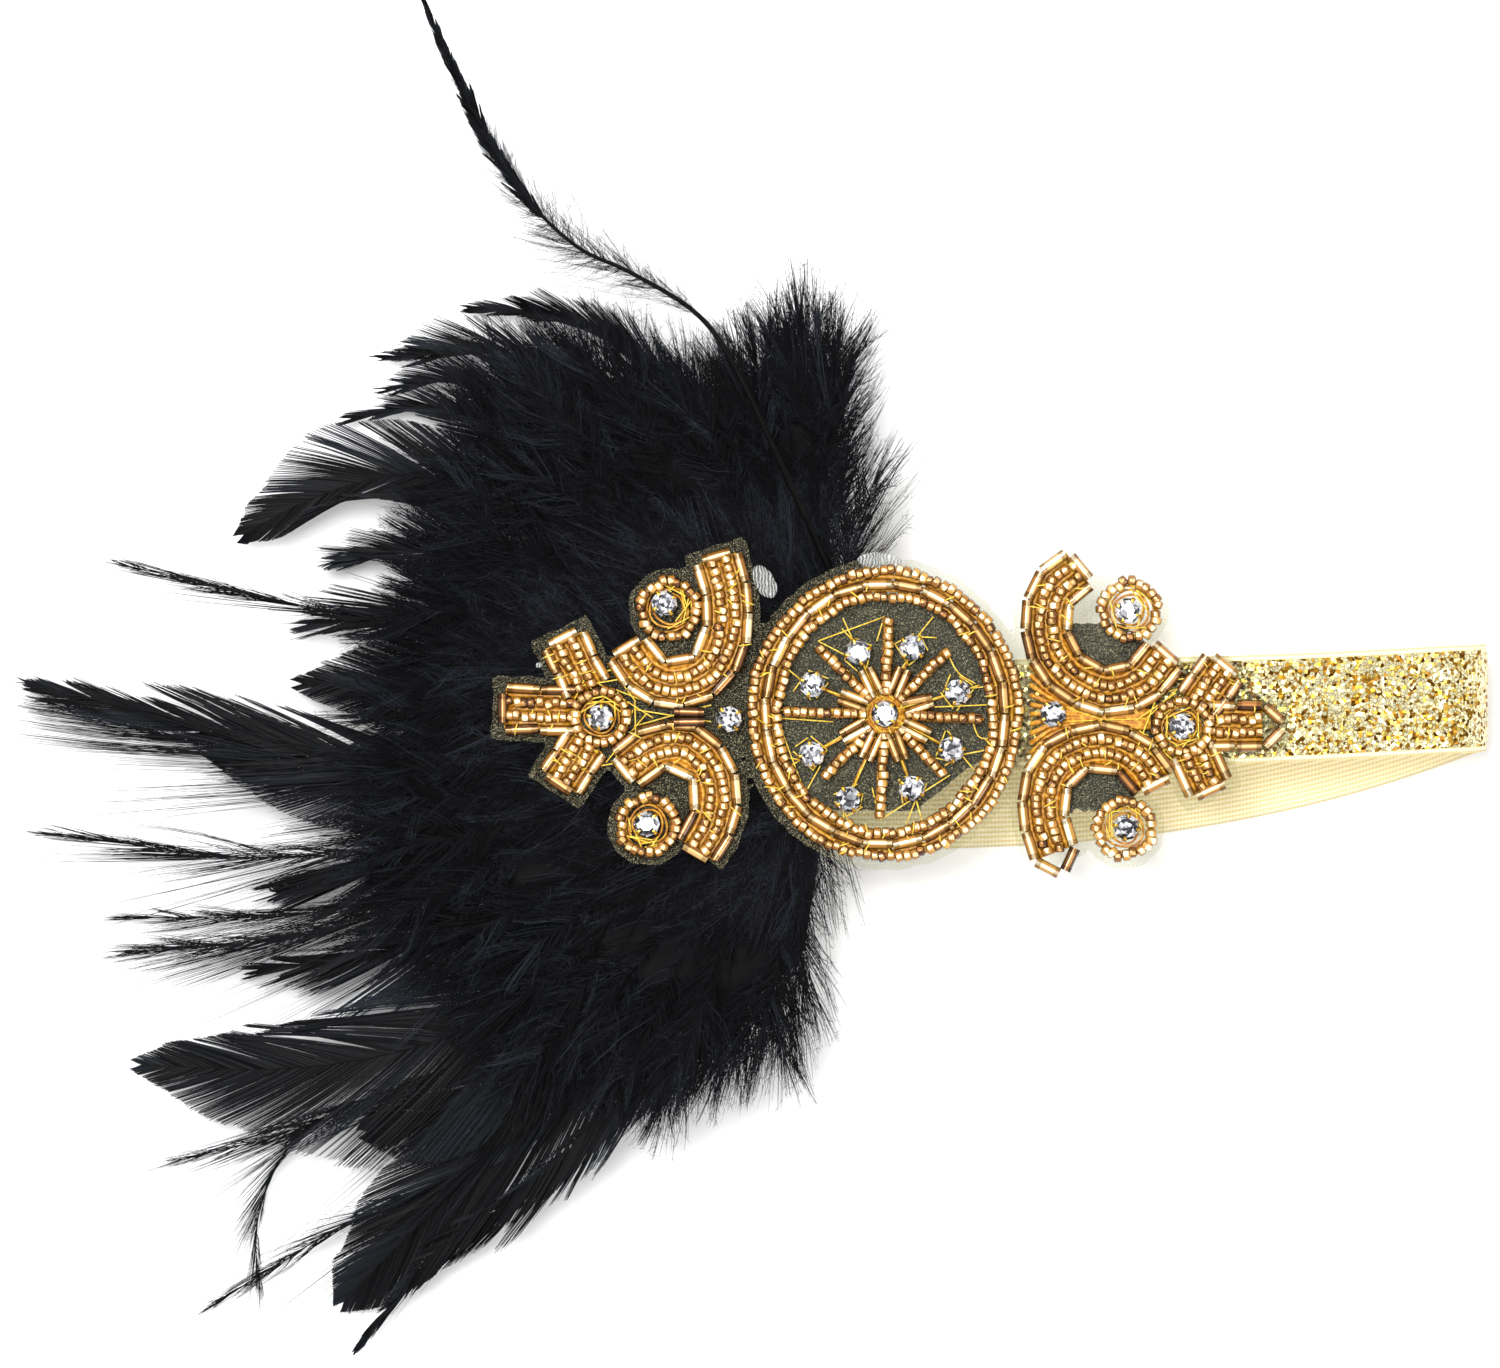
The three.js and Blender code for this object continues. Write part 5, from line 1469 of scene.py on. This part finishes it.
def buildDown():
    # tufts of down lie outwards like tiles, a rim of them along the outline and the rest all over
    random = np.random.default_rng(34)
    tufts = []
    low, high = fluff["rimAngles"]
    for i in range(fluff["rim"]):
        angle = low + (high - low) * (i + 0.5) / fluff["rim"] + random.uniform(-1, 1)
        length = fluff["tuft"] * random.uniform(0.8, 1.25)
        end = fluffReach(angle) * random.uniform(0.85, 0.96) - 5
        tufts.append((angle, max(4, end - length), length, random.uniform(0.2, 0.6), random.normal(0, 9)))
    for _ in range(fluff["tufts"]):
        angle = random.uniform(*fluff["tuftAngles"])
        length = fluff["tuft"] * random.uniform(0.7, 1.15)
        end = fluffReach(angle) * math.sqrt(random.uniform(0.06, 0.92))
        tufts.append((angle, max(4, end - length), length, random.uniform(0.5, 1), random.normal(0, 14)))
    lines, widths, tones = [], [], []
    for angle, start, length, level, swerve in tufts:
        quill = tuftQuill(angle, start, length, level, swerve)
        one = barbsOf(quill, dict(downLook, width=downLook["width"] * random.uniform(0.8, 1.25)), random)
        for kept, part in zip((lines, widths, tones), one):
            kept.append(part)
    half = len(lines) // 2
    for which, part in (("under", slice(0, half)), ("over", slice(half, None))):
        some = [np.concatenate(kept[part]) for kept in (lines, widths, tones)]
        low, high = downBand(some[0][..., 0], some[0][..., 1])
        some[0][..., 2] = np.clip(some[0][..., 2], low - 2, high)
        piece = strands("down_" + which, some[0], some[1], some[2], downBarb, random, 0.6)
        standIn(piece, "black_feather", "down_fluff")
    lines, widths, tones = np.concatenate(lines), np.concatenate(widths), np.concatenate(tones)
    print("down:", len(lines), "barbs")

    # barbules: short hairs that leave the barbs to both sides and make them soft
    count = barbule["count"]
    which = random.integers(0, len(lines), count)
    t = random.uniform(0.05, 1, count) * (lines.shape[1] - 1)
    j = np.minimum(t.astype(int), lines.shape[1] - 2)
    f = (t - j)[:, None]
    base = lines[which, j] * (1 - f) + lines[which, j + 1] * f
    along = lines[which, j + 1] - lines[which, j]
    along /= np.maximum(np.linalg.norm(along, axis=1, keepdims=True), 1e-9)
    way = random.normal(0, 1, (count, 3)) * [1, 1, 0.6] + along * 1.1
    way /= np.linalg.norm(way, axis=1, keepdims=True)
    reach = random.uniform(barbule["shortest"], barbule["longest"], (count, 1))
    side = np.cross(way, [0, 0, 1])
    side /= np.maximum(np.linalg.norm(side, axis=1, keepdims=True), 1e-9)
    half = side * barbule["thickness"] / 2
    points = np.stack([base - half, base + half, base + way * reach], axis=1).reshape(-1, 3)
    low, high = downBand(points[:, 0], points[:, 1])
    points[:, 2] = np.minimum(points[:, 2], high + 0.4)
    hairs = meshPiece("down_barbules", inRow(points), np.arange(3 * count).reshape(-1, 3), [downBarb])
    markPoints(hairs, "tone", np.repeat(tones[which], 3))
    standIn(hairs, "black_feather", "down_fluff")


buildDown()


def buildDownCore():
    # matted middle of the down, closed all round, that lets no light through
    angles = np.linspace(*matted["angles"], matted["rows"])
    shares = np.linspace(matted["start"], 1, matted["steps"])
    points, faces = [], []
    for level in (0, 1):
        for a in angles:
            for s in shares:
                d = fluffReach(a) * matted["reach"] * s
                x = root["x"] + d * math.cos(math.radians(a))
                y = root["y"] + d * math.sin(math.radians(a))
                low, high = downBand(np.array(x), np.array(y))
                top = high - 1.6 + 0.7 * math.sin(a * 0.5 + s * 9) * math.sin(s * 14 + a * 0.21)
                thin = 1 - max(0, (s - 0.7) / 0.3) ** 2
                z = float(low) - 0.5 + (float(top) - float(low) + 0.5) * (0.5 + (level - 0.5) * thin)
                points.append((x, y, z))
    wide, tall = len(shares), len(angles)
    layer = wide * tall
    for level in (0, 1):
        for i in range(tall - 1):
            for k in range(wide - 1):
                a = level * layer + i * wide + k
                faces.append([a, a + 1, a + wide + 1, a + wide])
    ring = ([i * wide for i in range(tall)] + [(tall - 1) * wide + k for k in range(1, wide)]
            + [i * wide + wide - 1 for i in range(tall - 2, -1, -1)] + [k for k in range(wide - 2, 0, -1)])
    for a, b in zip(ring, ring[1:] + ring[:1]):
        faces.append([a, b, b + layer, a + layer])
    piece = meshPiece("down_mat", inRow(points), faces, [downBarb])
    markPoints(piece, "tone", [0.15] * len(points))
    leaveAlone()
    piece.select_set(True)
    bpy.context.view_layer.objects.active = piece
    bpy.ops.object.mode_set(mode="EDIT")
    bpy.ops.mesh.select_all(action="SELECT")
    bpy.ops.mesh.remove_doubles(threshold=0.00001)
    bpy.ops.mesh.normals_make_consistent(inside=False)
    bpy.ops.object.mode_set(mode="OBJECT")
    standIn(piece, "black_feather", "down_fluff")


buildDownCore()
print("down laid")

# What the maker's glue gun left: a drop beside the medallion, a strip over the ring, a speck in the down
glueBits = {
    "glue_drop": ((-27.8, 30.6, 30.6), (4.6, 8.4, 1.5), 28),
    "glue_strip": ((-1.2, 35.4, 30.4), (10.4, 4, 0.8), -4),
    "glue_speck": ((-79.9, 11.3, 36.2), (1.6, 1.2, 0.9), 10),
}


def buildGlue():
    for name, (place, size, turn) in glueBits.items():
        leaveAlone()
        bpy.ops.mesh.primitive_uv_sphere_add(segments=28, ring_count=14, radius=0.5 * mm)
        bit = bpy.context.object
        bpy.ops.object.mode_set(mode="EDIT")
        bpy.ops.mesh.select_all(action="SELECT")
        bpy.ops.transform.resize(value=size)
        bpy.ops.object.mode_set(mode="OBJECT")
        lumps = bpy.data.textures.new(name + "_lumps", "CLOUDS")
        lumps.noise_scale = 0.0016
        skin = bit.modifiers.new("lumps", "DISPLACE")
        skin.texture = lumps
        skin.strength = 0.7 * mm
        bpy.ops.object.modifier_apply(modifier=skin.name)
        spot = Matrix.Translation(Vector(inRow(place))) @ Matrix.Rotation(math.radians(turn), 4, "Z")
        bit.data.transform(spot)
        bit.name = name
        bit.data.materials.append(glue)
        bpy.ops.object.shade_smooth()
        standIn(bit, "crystal")


buildGlue()
print("glue left")

hackle = {
    "foot": (-7.25, 21.75), "reach": 145, "base": 28.15, "quill": 0.85, "thin": 0.25,
    "route": [(0, 0, 0), (-.047, .1, 0), (-.091, .193, .06), (-.2, .42, .1), (-.25, .485, .1),
              (-.36, .553, .1), (-.43, .585, .1), (-.49, .635, .1), (-.55, .71, .1), (-.63, .86, .09),
              (-.685, .985, .08)],
}


def buildHackle():
    random = np.random.default_rng(55)
    x0, y0 = hackle["foot"]
    reach = hackle["reach"]
    route = [(x0 + x * reach, y0 + y * reach, hackle["base"] + up * reach) for x, y, up in hackle["route"]]
    quill = bentLine(route, 200)
    firm = dict(vaneLooks["zipped"], bare=0.68, width=3.8, spacing=0.22, angles=(32, 18), spread=2.5,
                clump=14, ragged=0.16, lift=0, rise=0.2, gather=0, past=2,
                profile=[(0.68, 0.8), (0.8, 1), (0.92, 0.7), (1, 0.15)])
    fuzz = dict(downLook, bare=0.42, width=9, spacing=0.13, angles=(60, 34), thread=0.08, wave=1.2, spread=14,
                clump=4, curl=0.2, ragged=0.35, lift=0, rise=1.6, gather=0.1,
                profile=[(0.42, 0), (0.5, .6), (0.6, 1), (0.7, .8), (0.8, 0.4), (0.9, 0)])
    haze = dict(fuzz, width=22, spacing=0.3, thread=0.06, wave=2.4, spread=20,
                profile=[(0.42, 0), (0.5, .6), (0.58, 1), (0.68, .5), (0.74, 0.1), (0.8, 0)])
    barbs = [barbsOf(quill, look, random) for look in (firm, fuzz, haze)]
    lines, widths, tones = [np.concatenate(part) for part in zip(*barbs)]
    piece = strands("hackle_barbs", lines, widths, tones, vaneBarb, random, 0.4)
    standIn(piece, "black_feather", "long_hackle")
    points, faces = tubes([evenly(quill, 90)], hackle["quill"], 8, hackle["thin"])
    stem = meshPiece("hackle_quill", inRow(points), faces, [quillHorn])
    standIn(stem, "black_feather", "long_hackle")


buildHackle()
print("hackle set")
